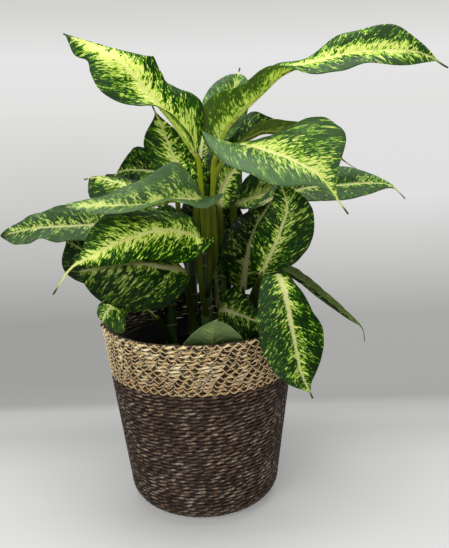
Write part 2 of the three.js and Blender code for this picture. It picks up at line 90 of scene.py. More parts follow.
def makePiece(name, sheets, material, replaced=()):
    # sheets are (points in mm, list of face arrays, layers); a layer is one number, or one number or UV
    # pair per point
    points, faces, layers, start = [], [], {}, 0
    for sheetPoints, sheetFaces, sheetLayers in sheets:
        flat = np.asarray(sheetPoints, float).reshape(-1, 3)
        points.append(flat)
        faces += [np.asarray(f) + start for f in sheetFaces]
        for key, values in sheetLayers.items():
            shape = (len(flat), 2) if key in uvNames else len(flat)
            layers.setdefault(key, []).append(np.broadcast_to(values, shape))
        start += len(flat)
    points = np.concatenate(points) * mm
    corners = np.concatenate([f.ravel() for f in faces]).astype(np.int32)
    totals = np.concatenate([np.full(len(f), f.shape[1]) for f in faces])
    mesh = bpy.data.meshes.new(name)
    mesh.vertices.add(len(points))
    mesh.vertices.foreach_set("co", points.astype(np.float32).ravel())
    mesh.loops.add(len(corners))
    mesh.loops.foreach_set("vertex_index", corners)
    mesh.polygons.add(len(totals))
    mesh.polygons.foreach_set("loop_start", np.r_[0, np.cumsum(totals)[:-1]].astype(np.int32))
    mesh.update(calc_edges=True)
    for key, values in layers.items():
        values = np.concatenate(values).astype(np.float32)
        if key in uvNames:
            mesh.uv_layers.new(name=key).data.foreach_set("uv", values[corners].ravel())
        else:
            mesh.attributes.new(key, "FLOAT", "POINT").data.foreach_set("value", values)
    mesh.shade_smooth()
    mesh.materials.append(material)
    piece = bpy.data.objects.new(name, mesh)
    bpy.context.scene.collection.objects.link(piece)
    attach(piece, "root")
    if replaced:
        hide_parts(*replaced)


def unit(vectors):
    return vectors / np.maximum(np.linalg.norm(vectors, axis=-1, keepdims=True), 1e-9)


def runLength(path):
    # the distance gone along a path, at each of its points
    return np.r_[0, np.cumsum(np.linalg.norm(np.diff(path, axis=0), axis=1))]


def readAt(at, known, values):
    # each column of values, whose places are in known, read at other places
    return np.stack([np.interp(at, known, column) for column in values.T], 1)


def around(r, phi, z):
    # points at radius r, angle phi about +Z and height z
    return np.stack(np.broadcast_arrays(r * np.cos(phi), r * np.sin(phi), z), -1)


def wavySum(angle, counts, heights, phases):
    # sum of cosines; whole numbers of waves round a ring make it meet itself
    return sum(h * np.cos(n * angle + p) for n, h, p in zip(counts, heights, phases))


def smoothRun(points, at):
    # uniform Catmull-Rom curve through points, its ends reflected, read at a share of 0 to len(points) - 1
    points = np.asarray(points, float)
    if len(points) == 1:
        return np.repeat(points, len(at), 0)
    held = np.vstack([2 * points[0] - points[1], points, 2 * points[-1] - points[-2]])
    i = np.minimum(at.astype(int), len(points) - 2)
    f = (at - i)[:, None]
    a, b, c, d = held[i], held[i + 1], held[i + 2], held[i + 3]
    return 0.5 * (2 * b + (c - a) * f + (2 * a - 5 * b + 4 * c - d) * f ** 2
                  + (3 * b - a - 3 * c + d) * f ** 3)


# Where the photo was taken from: eye and sensor in mm, angles in degrees, the rest in the photo's pixels.
view = {"eye": (27, -736, 408), "pitch": 13.0, "roll": 1.7, "focal": 741, "photoHeight": 548, "sensor": 36}
camera = bpy.data.objects.new("camera", bpy.data.cameras.new("camera"))
camera.data.sensor_width = view["sensor"]
camera.data.lens = view["focal"] / view["photoHeight"] * view["sensor"]
camera.data.clip_start = 0.01
turn = (Matrix.Rotation(math.radians(90 - view["pitch"]), 4, "X")
        @ Matrix.Rotation(math.radians(-view["roll"]), 4, "Z"))
camera.matrix_world = Matrix.Translation(Vector(view["eye"]) * mm) @ turn
bpy.context.scene.collection.objects.link(camera)
bpy.context.scene.camera = camera
bpy.context.scene.view_settings.view_transform = "Standard"

lamps = {
    "overhead": {"place": (0.05, 0.1, 1.5), "aim": (0, 0, 0.25), "size": (1.1, 0.8), "watts": 25.0},
    "front": {"place": (-0.45, -1.4, 1.15), "aim": (0, 0, 0.15), "size": (1.1, 0.8), "watts": 16.5},
}
for name, lamp in lamps.items():
    data = bpy.data.lights.new(name, "AREA")
    data.shape = "RECTANGLE"
    data.size, data.size_y = lamp["size"]
    data.energy = lamp["watts"]
    light = bpy.data.objects.new(name, data)
    aim = (Vector(lamp["aim"]) - Vector(lamp["place"])).to_track_quat("-Z", "Y")
    light.matrix_world = Matrix.Translation(lamp["place"]) @ aim.to_matrix().to_4x4()
    bpy.context.scene.collection.objects.link(light)

# The backdrop is a paper sweep far wider than the plant: a lit floor in front, its paper painted darker
# towards the back of the basket as painted shade, and behind it a band of glowing paper, painted light whose
# brightness is set by how far back it lies, from a grey foot of painted shade to a pale top. Above it the sky
# goes on the same way.
world = bpy.data.worlds.new("studio")
add = clearNodes(world)
upward = add("SeparateXYZ", [add("TexCoord", out="Generated")], "Z")
height = add("Math", [upward, 2.0], operation="MULTIPLY", use_clamp=True)
above = add("ValToRGB", [height], stops=[
    (0.0, "#e2e2e1"), (0.12, "#e6e6e6"), (0.25, "#d3d2d0"), (0.6, "#9a9a9a"), (1.0, "#6e6e6e")])
add("OutputWorld", [add("Background", {"Color": above, "Strength": 1.0})], None)
bpy.context.scene.world = world

paperSweep = bpy.data.materials.new("paperSweep")
add = clearNodes(paperSweep)
spot = add("SeparateXYZ", [add("TexCoord", out="Object")], None)
sideways, away = spot.outputs["X"], spot.outputs["Y"]
# painted shade: the floor's paper darkens from the front to just behind the basket
near = add("MapRange", {"Value": away, "From Min": -0.1, "From Max": 0.3})
paper = add("ValToRGB", [near], stops=[
    (0.0, "#aaaaa9"), (0.2, "#a7a7a6"), (0.4, "#9a9a98"), (0.6, "#80807e"), (0.8, "#868684")])
# painted light and shade: the glowing paper is brighter the further back it lies, with a grey band of painted
# shade low down and more light on the right than on the left
back = add("Math", [away, add("Math", [away, 1.5], operation="ADD")], operation="DIVIDE")
leftBack = add("ValToRGB", [back], stops=[
    (0.125, "#bdbdbb"), (0.14, "#a5a5a3"), (0.18, "#9f9f9d"), (0.30, "#9f9f9d"), (0.44, "#bbbbb9"),
    (0.62, "#cdcdcb"), (0.85, "#dadad8"), (1.0, "#e2e2e1")])
rightBack = add("ValToRGB", [back], stops=[
    (0.125, "#b4b4b2"), (0.14, "#a6a6a4"), (0.18, "#a9a9a7"), (0.30, "#aaaaa8"), (0.44, "#c7c7c5"),
    (0.62, "#e0e0e0"), (0.85, "#e1e1e1"), (1.0, "#e2e2e1")])
slope = add("Math", [sideways, add("Math", [away, 0.74], operation="ADD")], operation="DIVIDE")
rightness = add("MapRange", {"Value": slope, "From Min": -0.2, "From Max": 0.2}, **smooth)
glow = add("Emission", {"Color": add("Mix", {0: rightness, 6: leftBack, 7: rightBack}, **asColour)})
ground = add("BsdfPrincipled", {
    "Base Color": paper, "Roughness": 0.8,
    "Emission Color": "#848483", "Emission Strength": 1.0})  # the emission stands for soft light all round
bend = add("MapRange", {"Value": away, "From Min": 0.16, "From Max": 0.235}, **smooth)
add("OutputMaterial", [add("MixShader", [bend, ground, glow])], None)
reach = 60  # half the floor's side in metres
floorMesh = bpy.data.meshes.new("floor")
floorMesh.from_pydata([(-reach, -reach, 0), (reach, -reach, 0), (reach, reach, 0), (-reach, reach, 0)], [],
                      [(0, 1, 2, 3)])
floorMesh.materials.append(paperSweep)
floor = bpy.data.objects.new("floor", floorMesh)
bpy.context.scene.collection.objects.link(floor)
print("stage set: camera, two lamps, floor")

# The basket is coiled from seagrass rope: straw rows above colourChange, stained rows below it. Lengths are
# in mm.
basket = {
    "height": 195, "rimRadius": 100, "wallFootRadius": 78, "floorRadius": 52, "footHeight": 24,
    "colourChange": 142, "ropeRadius": 2.5, "rowPitch": 4.0, "flatness": 0.78, "swell": 0.07,
    "layLength": 13.0, "wobble": 0.25, "segments": 600, "section": 8, "floorSegments": 220, "darkParts": 3,
    "threadRadius": 0.27, "stitchLength": 9.5, "threadSwing": 72, "threadSides": 4, "stitchSteps": 12,
}


def basketRows():
    # centres of the coil rows and their outward directions, as radius and height, from the rim down: the
    # outline is the wall's straight taper, a quarter ellipse at the foot and the flat floor, all moved
    # inwards by the rope's radius, and a row sits at every rowPitch along it
    wallFoot, floorRadius, footHeight = basket["wallFootRadius"], basket["floorRadius"], basket["footHeight"]
    rise, out = basket["height"] - footHeight, basket["rimRadius"] - wallFoot
    z = np.linspace(basket["height"], footHeight, 400)
    wall = np.stack([wallFoot + out * (z - footHeight) / rise, z], 1)
    wide = wallFoot - floorRadius
    t = np.linspace(np.pi / 2, 0, 200)[1:]
    foot = np.stack([floorRadius + wide * np.sin(t), footHeight - footHeight * np.cos(t)], 1)
    footOut = np.stack([np.sin(t) / wide, -np.cos(t) / footHeight], 1)
    r = np.linspace(floorRadius, 0, 300)[1:]
    outline = np.vstack([wall, foot, np.stack([r, 0 * r], 1)])
    outward = unit(np.vstack([
        np.tile([rise, -out], (len(wall), 1)), footOut, np.tile([0, -1.0], (len(r), 1))]))
    middle = outline - outward * basket["ropeRadius"]
    run = runLength(middle)
    stops = np.arange(basket["ropeRadius"], run[-1] - basket["ropeRadius"], basket["rowPitch"])
    return readAt(stops, run, middle), unit(readAt(stops, run, outward))


def ropeSheet(centres, outward, segments, rng):
    # twisted rope rings: a circle carried round each row, its radius swelling by cosines that wind along
    # the rope as strands do, and its centre wandering by a few slow cosines
    rows, section = len(centres), basket["section"]
    phi = np.linspace(0, 2 * np.pi, segments, endpoint=False)[None, :, None]
    psi = np.linspace(0, 2 * np.pi, section, endpoint=False)[None, None, :]
    radius, height = centres.T[..., None, None]
    ro, zo = outward.T[..., None, None]
    winds = np.maximum(3, np.round(2 * np.pi * radius / basket["layLength"]))
    phase = rng.uniform(0, 2 * np.pi, (12, rows, 1, 1))
    counts = rng.integers(5, 60, (12, rows, 1, 1))
    strands = (0.65 * np.cos(2 * psi - winds * phi + phase[0])
               + 0.35 * np.cos(3 * psi - (winds + 7) * phi + phase[1]))
    knots = wavySum(phi, counts[2:7] * 2, [0.25] * 5, phase[2:7])
    tone = wavySum(phi, counts[7:10], [0.4] * 3, phase[7:10]) + 0.5 * np.cos(phase[3])
    thick = basket["ropeRadius"] * (1.02 + basket["swell"] * (strands + 0.7 * knots))
    drift = basket["wobble"] * wavySum(phi, counts[9:12] // 2 + 2, [0.4] * 3, phase[9:12])
    lift = basket["wobble"] * wavySum(phi, counts[5:8] // 2 + 2, [0.4] * 3, phase[5:8])
    across = thick * np.cos(psi) + drift
    along = basket["flatness"] * thick * np.sin(psi) + lift
    z = np.maximum(height + across * zo + along * ro, 0.0)
    points = around(radius + across * ro - along * zo, phi, z)
    ring = gridFaces(segments, section, True, True)
    faces = (ring[None] + (np.arange(rows) * segments * section)[:, None, None]).reshape(-1, 4)
    # depth grows from the outer crest towards the rope's sides and between its strands; the rope's material
    # paints shade by it
    depth = (1 - np.cos(psi)) / 2 - 0.25 * strands
    return points, [faces], {"tone": (tone + 0 * psi).ravel(), "depth": depth.ravel()}


def threadSheets(centres, outward, rng):
    # zigzag stitches: on each row a thin thread swings up and down over the outside of the rope, a triangle
    # wave in the angle round the rope's section
    turnAngle = np.linspace(0, 2 * np.pi, basket["threadSides"], endpoint=False)[None, :, None]
    reach = basket["ropeRadius"] * 1.06 + basket["threadRadius"] * 0.5
    lowest = basket["threadRadius"] + 0.05
    sheets = []
    for (radius, height), (ro, zo) in zip(centres, outward):
        count = int(round(2 * np.pi * radius / basket["stitchLength"]))
        phi = np.linspace(0, 2 * np.pi, count * basket["stitchSteps"], endpoint=False)
        phase = rng.uniform(0, 2 * np.pi, 3)
        wander = wavySum(phi, (5, 11, 17), (0.5, 0.3, 0.25), phase)
        swing = 2 / np.pi * np.arcsin(np.sin(count * phi + phase[0] + wander))
        psi = np.radians(basket["threadSwing"]) * swing * (1 + 0.15 * np.cos(7 * phi + phase[1]))
        across, along = reach * np.cos(psi), basket["flatness"] * reach * np.sin(psi)
        z = np.maximum(height + across * zo + along * ro, lowest)
        path = around(radius + across * ro - along * zo, phi, z)
        heading = unit(np.roll(path, -1, 0) - np.roll(path, 1, 0))
        up = around(np.cos(psi) * ro - np.sin(psi) * zo, phi, np.cos(psi) * zo + np.sin(psi) * ro)
        side = unit(np.cross(heading, up))
        up = np.cross(side, heading)
        ring = path[:, None] + basket["threadRadius"] * (
            np.cos(turnAngle) * up[:, None] + np.sin(turnAngle) * side[:, None])
        sheets.append((ring, [gridFaces(len(phi), basket["threadSides"], True, True)[:, ::-1]], {}))
    return sheets


def ropeMaterial(name, stops, rough, glint, aged):
    # Seagrass: dry flat blades twisted into cord, dull with a little gloss on the crests, with painted shade
    # between the rows and on the rope's far sides, and aged towards the foot.
    material = bpy.data.materials.new(name)
    add = clearNodes(material)
    place = add("TexCoord", out="Object")
    fibre = add("Mapping", {"Vector": place, "Scale": (120, 120, 760)})  # streaks of 8 mm by 1.3 mm
    streaks = add("TexNoise", {"Vector": fibre, "Scale": 1.0, "Detail": 4.0, "Roughness": 0.65})
    blotch = add("TexNoise", {"Vector": place, "Scale": 55.0, "Detail": 3.0})
    tone, depth = [add("Attribute", out="Fac", attribute_name=key) for key in ("tone", "depth")]
    mixed = add("Math", [blotch, 1.6], operation="MULTIPLY")
    for part, weight in ((streaks, 3.0), (tone, 0.14)):
        mixed = add("Math", [part, weight, mixed], operation="MULTIPLY_ADD")
    colour = add("ValToRGB", [add("Math", [mixed, 1.78], operation="SUBTRACT")], stops=stops)
    heightAt = add("Math", [blotch, 0.02, add("SeparateXYZ", [place], "Z")], operation="MULTIPLY_ADD")
    low = add("MapRange", {
        "Value": heightAt, "From Min": 0.16, "From Max": 0.19, "To Min": 0.6, "To Max": 0.0}, **smooth)
    colour = add("Mix", {0: low, 6: colour, 7: aged}, **asColour)
    # painted shade: towards the darkest stop on the rope's far sides and in the creases between the rows
    shade = add("MapRange", {"Value": depth, "From Max": 0.18, "To Max": 0.92}, **smooth)
    colour = add("Mix", {0: shade, 6: colour, 7: stops[0][1]}, **asColour)
    bump = add("Bump", {"Height": streaks, "Strength": 0.7, "Distance": 0.0006})
    gloss = add("MapRange", {"Value": streaks, "To Min": rough - glint, "To Max": rough + glint})
    shader = add("BsdfPrincipled", {
        "Base Color": colour, "Roughness": gloss, "Normal": bump, "Specular IOR Level": 0.2})
    add("OutputMaterial", [shader], None)
    return material


def threadMaterial(name, hexLow, hexHigh):
    # Spun cotton or nylon sewing thread, matt and faintly uneven.
    material = bpy.data.materials.new(name)
    add = clearNodes(material)
    noise = add("TexNoise", {"Vector": add("TexCoord", out="Object"), "Scale": 400.0})
    spun = add("ValToRGB", [noise], stops=[(0.3, hexLow), (0.7, hexHigh)])
    add("OutputMaterial", [add("BsdfPrincipled", {"Base Color": spun, "Roughness": 0.6})], None)
    return material


seagrassNatural = ropeMaterial("seagrassNatural", [
    (0.2, "#160a03"), (0.34, "#704c22"), (0.5, "#bc9454"), (0.68, "#e6c888"), (0.92, "#fcf0cc")],
    0.62, 0.12, "#7c4f22")
# The stained rope's palest stop is partly paler strands and partly painted glints.
seagrassStained = ropeMaterial("seagrassStained", [
    (0.2, "#160c06"), (0.34, "#543a28"), (0.5, "#806450"), (0.68, "#a88e76"), (0.92, "#ead6c0")],
    0.5, 0.15, "#4c3624")
threadCream = threadMaterial("sewingThreadCream", "#ead6a4", "#fff0c8")
threadBrown = threadMaterial("sewingThreadBrown", "#1c1511", "#3a2e27")

centres, outward = basketRows()
straw = centres[:, 1] > basket["colourChange"]
flatRows = ~straw & (centres[:, 0] < basket["floorRadius"])
darkRows = np.flatnonzero(~straw & ~flatRows)
rng = np.random.default_rng(11)
makePiece("rope_straw", [ropeSheet(centres[straw], outward[straw], basket["segments"], rng)],
          seagrassNatural, ["basket_straw_band"])
perPart = math.ceil(len(darkRows) / basket["darkParts"])
for part in range(basket["darkParts"]):
    rows = darkRows[part * perPart:(part + 1) * perPart]
    makePiece(f"rope_dark_{part + 1}", [ropeSheet(centres[rows], outward[rows], basket["segments"], rng)],
              seagrassStained, ["basket_dark_rope"])
makePiece("rope_floor", [ropeSheet(centres[flatRows], outward[flatRows], basket["floorSegments"], rng)],
          seagrassStained, ["basket_dark_rope"])
makePiece("stitches_cream", threadSheets(centres[straw], outward[straw], rng), threadCream)
makePiece("stitches_brown", threadSheets(centres[darkRows], outward[darkRows], rng), threadBrown)
print("basket coiled:", len(centres), "rows")

# A nursery pot stands on the basket's floor, filled with soil. Lengths are in mm.
pot = {
    "topRadius": 86, "baseRadius": 60, "height": 162, "wall": 1.6, "lip": 2.5, "bottom": 6.3, "sides": 120,
}
soil = {
    "top": 150, "crown": 5, "lump": 1.6, "gap": 2.4, "plugBottom": 10, "rings": 60, "sides": 150, "waves": 40,
}
chips = {
    "count": 260, "size": (1.2, 3.6), "spread": 76, "crownRadius": 79, "sunk": 0.3, "rings": 4, "sides": 6,
}


def turnedSheet(profile, sides):
    # a profile of radius and height points carried round +Z, closed by a small cap at each end on the axis
    profile = np.asarray(profile, float)
    phi = np.linspace(0, 2 * np.pi, sides, endpoint=False)
    points = around(profile[:, :1], phi, profile[:, 1:])
    caps = [np.arange(sides)[None, ::-1], (len(profile) - 1) * sides + np.arange(sides)[None]]
    return points, [gridFaces(len(profile), sides, False, True)[:, ::-1]] + caps, {}


def potProfile():
    # outer wall with a rounded lip, then the same wall again, set in by its thickness
    wall, bottom, base = pot["wall"], pot["bottom"], pot["baseRadius"]
    top, inner = bottom + pot["height"], pot["topRadius"] - wall
    arc = np.linspace(-np.pi / 2, np.pi / 2, 7)
    lip = np.stack([pot["topRadius"] + pot["lip"] * np.cos(arc), top - 3 + 3 * np.sin(arc)], 1)
    return np.vstack([
        [[0.5, bottom], [base - 1, bottom], [base, bottom + 1], [pot["topRadius"], top - 7]], lip,
        [[inner + 0.6, top], [inner, top - 0.6], [base - wall, bottom + wall + 1],
         [base - wall - 1, bottom + wall], [0.5, bottom + wall]]])


# Polypropylene, injection moulded: near black, partly its own colour and partly painted shade inside the
# basket, low gloss, a faint grain from the mould.
polypropylene = bpy.data.materials.new("polypropyleneBlack")
add = clearNodes(polypropylene)
grain = add("TexNoise", {"Vector": add("TexCoord", out="Object"), "Scale": 900.0})
blackPlasticAndShade = add("ValToRGB", [grain], stops=[(0.4, "#060606"), (0.75, "#101011")])
bump = add("Bump", {"Height": grain, "Strength": 0.2, "Distance": 0.0002})
plastic = add("BsdfPrincipled", {
    "Base Color": blackPlasticAndShade, "Roughness": 0.55, "IOR": 1.49, "Specular IOR Level": 0.25, "Normal": bump})
add("OutputMaterial", [plastic], None)
makePiece("nursery_pot_shell", [turnedSheet(potProfile(), pot["sides"])], polypropylene,
          ["nursery_pot"])


def crownHeight(farSquared, edge):
    # height of the soil's low crown: a raised cosine of the squared distance from the middle
    return soil["top"] + soil["crown"] * (0.5 + 0.5 * np.cos(np.pi * farSquared / edge ** 2))


def wallRadius(z):
    # radius of the soil where it meets the pot's tapered wall
    taper = (pot["topRadius"] - pot["baseRadius"]) / pot["height"]
    return pot["baseRadius"] - soil["gap"] + taper * (z - pot["bottom"])


def soilSheet(rng):
    # potting mix: a low crown roughened by cosines of x and y, on a plain plug
    edge, sides = wallRadius(soil["top"]), soil["sides"]
    r = np.linspace(0.6, edge, soil["rings"])
    phi = np.linspace(0, 2 * np.pi, sides, endpoint=False)
    x, y = r[:, None] * np.cos(phi), r[:, None] * np.sin(phi)
    waves = rng.normal(0, 1, (soil["waves"], 2)) * rng.choice([0.15, 0.4, 0.9], (soil["waves"], 1))
    phase = rng.uniform(0, 2 * np.pi, soil["waves"])
    rough = sum(np.cos(a * x + b * y + p) / (1 + 1.5 * math.hypot(a, b))
                for (a, b), p in zip(waves, phase)) / 6
    lumps = soil["lump"] * rough * np.clip((edge - np.hypot(x, y)) / 6, 0, 1)
    top = np.stack([x, y, crownHeight(x ** 2 + y ** 2, edge) + lumps - 0.4], -1)
    low = soil["plugBottom"]
    plug = np.array([[edge, soil["top"] - 3], [wallRadius(low + 2), low], [0.6, low]])
    points = np.concatenate([top, around(plug[:, :1], phi, plug[:, 1:])])
    caps = [np.arange(sides)[None], (len(points) - 1) * sides + np.arange(sides)[None, ::-1]]
    return points, [gridFaces(len(points), sides, False, True)] + caps, {}


def chipSheet(rng):
    # bark chips: a small ball squashed three ways, its rings pushed about, laid on the soil at seeded
    # places
    count, rings, sides = chips["count"], chips["rings"], chips["sides"]
    t = np.linspace(0.25, np.pi - 0.25, rings)[None, :, None]
    a = np.linspace(0, 2 * np.pi, sides, endpoint=False)[None, None, :]
    size = rng.uniform(*chips["size"], (count, 1, 1))
    stretch = rng.uniform(0.5, 1.0, (count, 1, 1, 3)) * [1, 0.8, 0.45]
    push = rng.uniform(0.75, 1.2, (count, rings, sides))
    ball = around(np.sin(t) * push, a, np.cos(t) * push) * stretch * size[..., None]
    turnZ = rng.uniform(0, 2 * np.pi, (count, 1, 1))
    tilt = rng.uniform(-0.5, 0.5, (count, 1, 1))
    x, y, z = np.moveaxis(ball, -1, 0)
    x, z = x * np.cos(tilt) - z * np.sin(tilt), x * np.sin(tilt) + z * np.cos(tilt)
    x, y = x * np.cos(turnZ) - y * np.sin(turnZ), x * np.sin(turnZ) + y * np.cos(turnZ)
    far = chips["spread"] * np.sqrt(rng.uniform(0, 1, (count, 1, 1)))
    where = rng.uniform(0, 2 * np.pi, (count, 1, 1))
    ground = crownHeight(far ** 2, chips["crownRadius"]) - chips["sunk"]
    points = np.stack([x, y, z], -1) + around(far, where, ground)
    offset = (np.arange(count) * rings * sides)[:, None, None]
    quads = (gridFaces(rings, sides, False, True)[None] + offset).reshape(-1, 4)
    caps = [np.arange(sides), (rings - 1) * sides + np.arange(sides)[::-1]]
    return points, [quads] + [(cap[None, None] + offset).reshape(-1, sides) for cap in caps], {}


def crumblyMaterial(name, noise, relief, stops, shine):
    # compost: noise gives its colours, and its bumps where it has a relief in metres; shine is the gloss
    material = bpy.data.materials.new(name)
    add = clearNodes(material)
    crumbs = add("TexNoise", {"Vector": add("TexCoord", out="Object"), **noise})
    look = {"Base Color": add("ValToRGB", [crumbs], stops=stops), **shine}
    if relief:
        look["Normal"] = add("Bump", {"Height": crumbs, "Strength": 1.0, "Distance": relief})
    add("OutputMaterial", [add("BsdfPrincipled", look)], None)
    return material


# Potting mix of peat and composted bark: damp, crumbly and dark, its near black partly painted shade inside
# the pot. Its bark chips are flat and reddish brown, darkened nearly to black by the same painted shade.
pottingMix = crumblyMaterial(
    "pottingMix", {"Scale": 320.0, "Detail": 6.0, "Roughness": 0.75}, 0.0015,
    [(0.35, "#020101"), (0.55, "#070403"), (0.75, "#140e09")], {"Roughness": 0.9, "Specular IOR Level": 0.08})
compostedBark = crumblyMaterial(
    "compostedBark", {"Scale": 150.0, "Detail": 5.0}, 0,
    [(0.35, "#050302"), (0.55, "#0f0906"), (0.75, "#22170e")], {"Roughness": 0.85, "Specular IOR Level": 0.1})
rng = np.random.default_rng(5)
makePiece("potting_mix", [soilSheet(rng)], pottingMix, ["soil"])
makePiece("bark_chips", [chipSheet(rng)], compostedBark)
print("pot filled")

# Each cane stands at x and y and ends at a height, all in mm.
canes = {
    "middle": (8, 0, 262), "right": (50, -8, 216), "left": (-31, 17, 226), "back_right": (29, 44, 250),
    "back_left": (-9, 57, 244),
}
caneShape = {
    "rootDepth": 35, "footRadius": 7.0, "topRadius": 5.0, "tip": 2, "scarPitch": 22, "scarRelief": 0.8,
    "sides": 40,
}


def caneSheet(x, y, top):
    # a tapered stem whose radius rises in a narrow bell at each scar and dips above it, with a domed tip
    foot, neck = soil["top"] - caneShape["rootDepth"], top - caneShape["tip"]
    z = np.linspace(foot, neck, 220)
    share = (z - foot) / (top - foot)
    pitch = caneShape["scarPitch"]
    past = (z - foot + pitch / 2) % pitch - pitch / 2
    radius = caneShape["footRadius"] + (caneShape["topRadius"] - caneShape["footRadius"]) * share
    radius += caneShape["scarRelief"] * np.exp(-(past / 1.3) ** 2)
    radius -= 0.25 * np.exp(-((past - 2.4) / 1.2) ** 2)
    dome = np.linspace(0, np.pi / 2, 8)[1:-1]
    tip = np.stack([radius[-1] * np.cos(dome), neck + caneShape["tip"] * np.sin(dome)], 1)
    profile = np.vstack([[[0.5, foot]], np.stack([radius, z], 1), tip, [[0.4, top]]])
    points, faces, _ = turnedSheet(profile, caneShape["sides"])
    scar = np.r_[0, np.exp(-(past / 1.8) ** 2), 0 * dome, 0]
    return points + [x, y, 0], faces, {"scar": scar.repeat(caneShape["sides"])}


# Dieffenbachia cane: smooth green skin, paler lengthwise streaks, an olive brown ring at each leaf scar; the
# greens and the rings are darkened with painted shade, as they stand among the leaves.
caneSkin = bpy.data.materials.new("dieffenbachiaCane")
add = clearNodes(caneSkin)
lengthwise = add("Mapping", {"Vector": add("TexCoord", out="Object"), "Scale": (700, 700, 45)})
streaks = add("TexNoise", {"Vector": lengthwise, "Scale": 1.0, "Detail": 4.0})
scar = add("Math", [add("Attribute", out="Fac", attribute_name="scar"), 0.7], operation="MULTIPLY")
green = add("ValToRGB", [streaks], stops=[(0.3, "#16280a"), (0.55, "#2a4212"), (0.8, "#4c662a")])
colour = add("Mix", {0: scar, 6: green, 7: "#4c4626"}, **asColour)
bump = add("Bump", {"Height": streaks, "Strength": 0.3, "Distance": 0.0004})
skin = add("BsdfPrincipled", {"Base Color": colour, "Roughness": 0.42, "Normal": bump})
add("OutputMaterial", [skin], None)
for name, place in canes.items():
    makePiece(f"cane_{name}_skin", [caneSheet(*place)], caneSkin, [f"cane_{name}"])
print("canes stood:", len(canes))
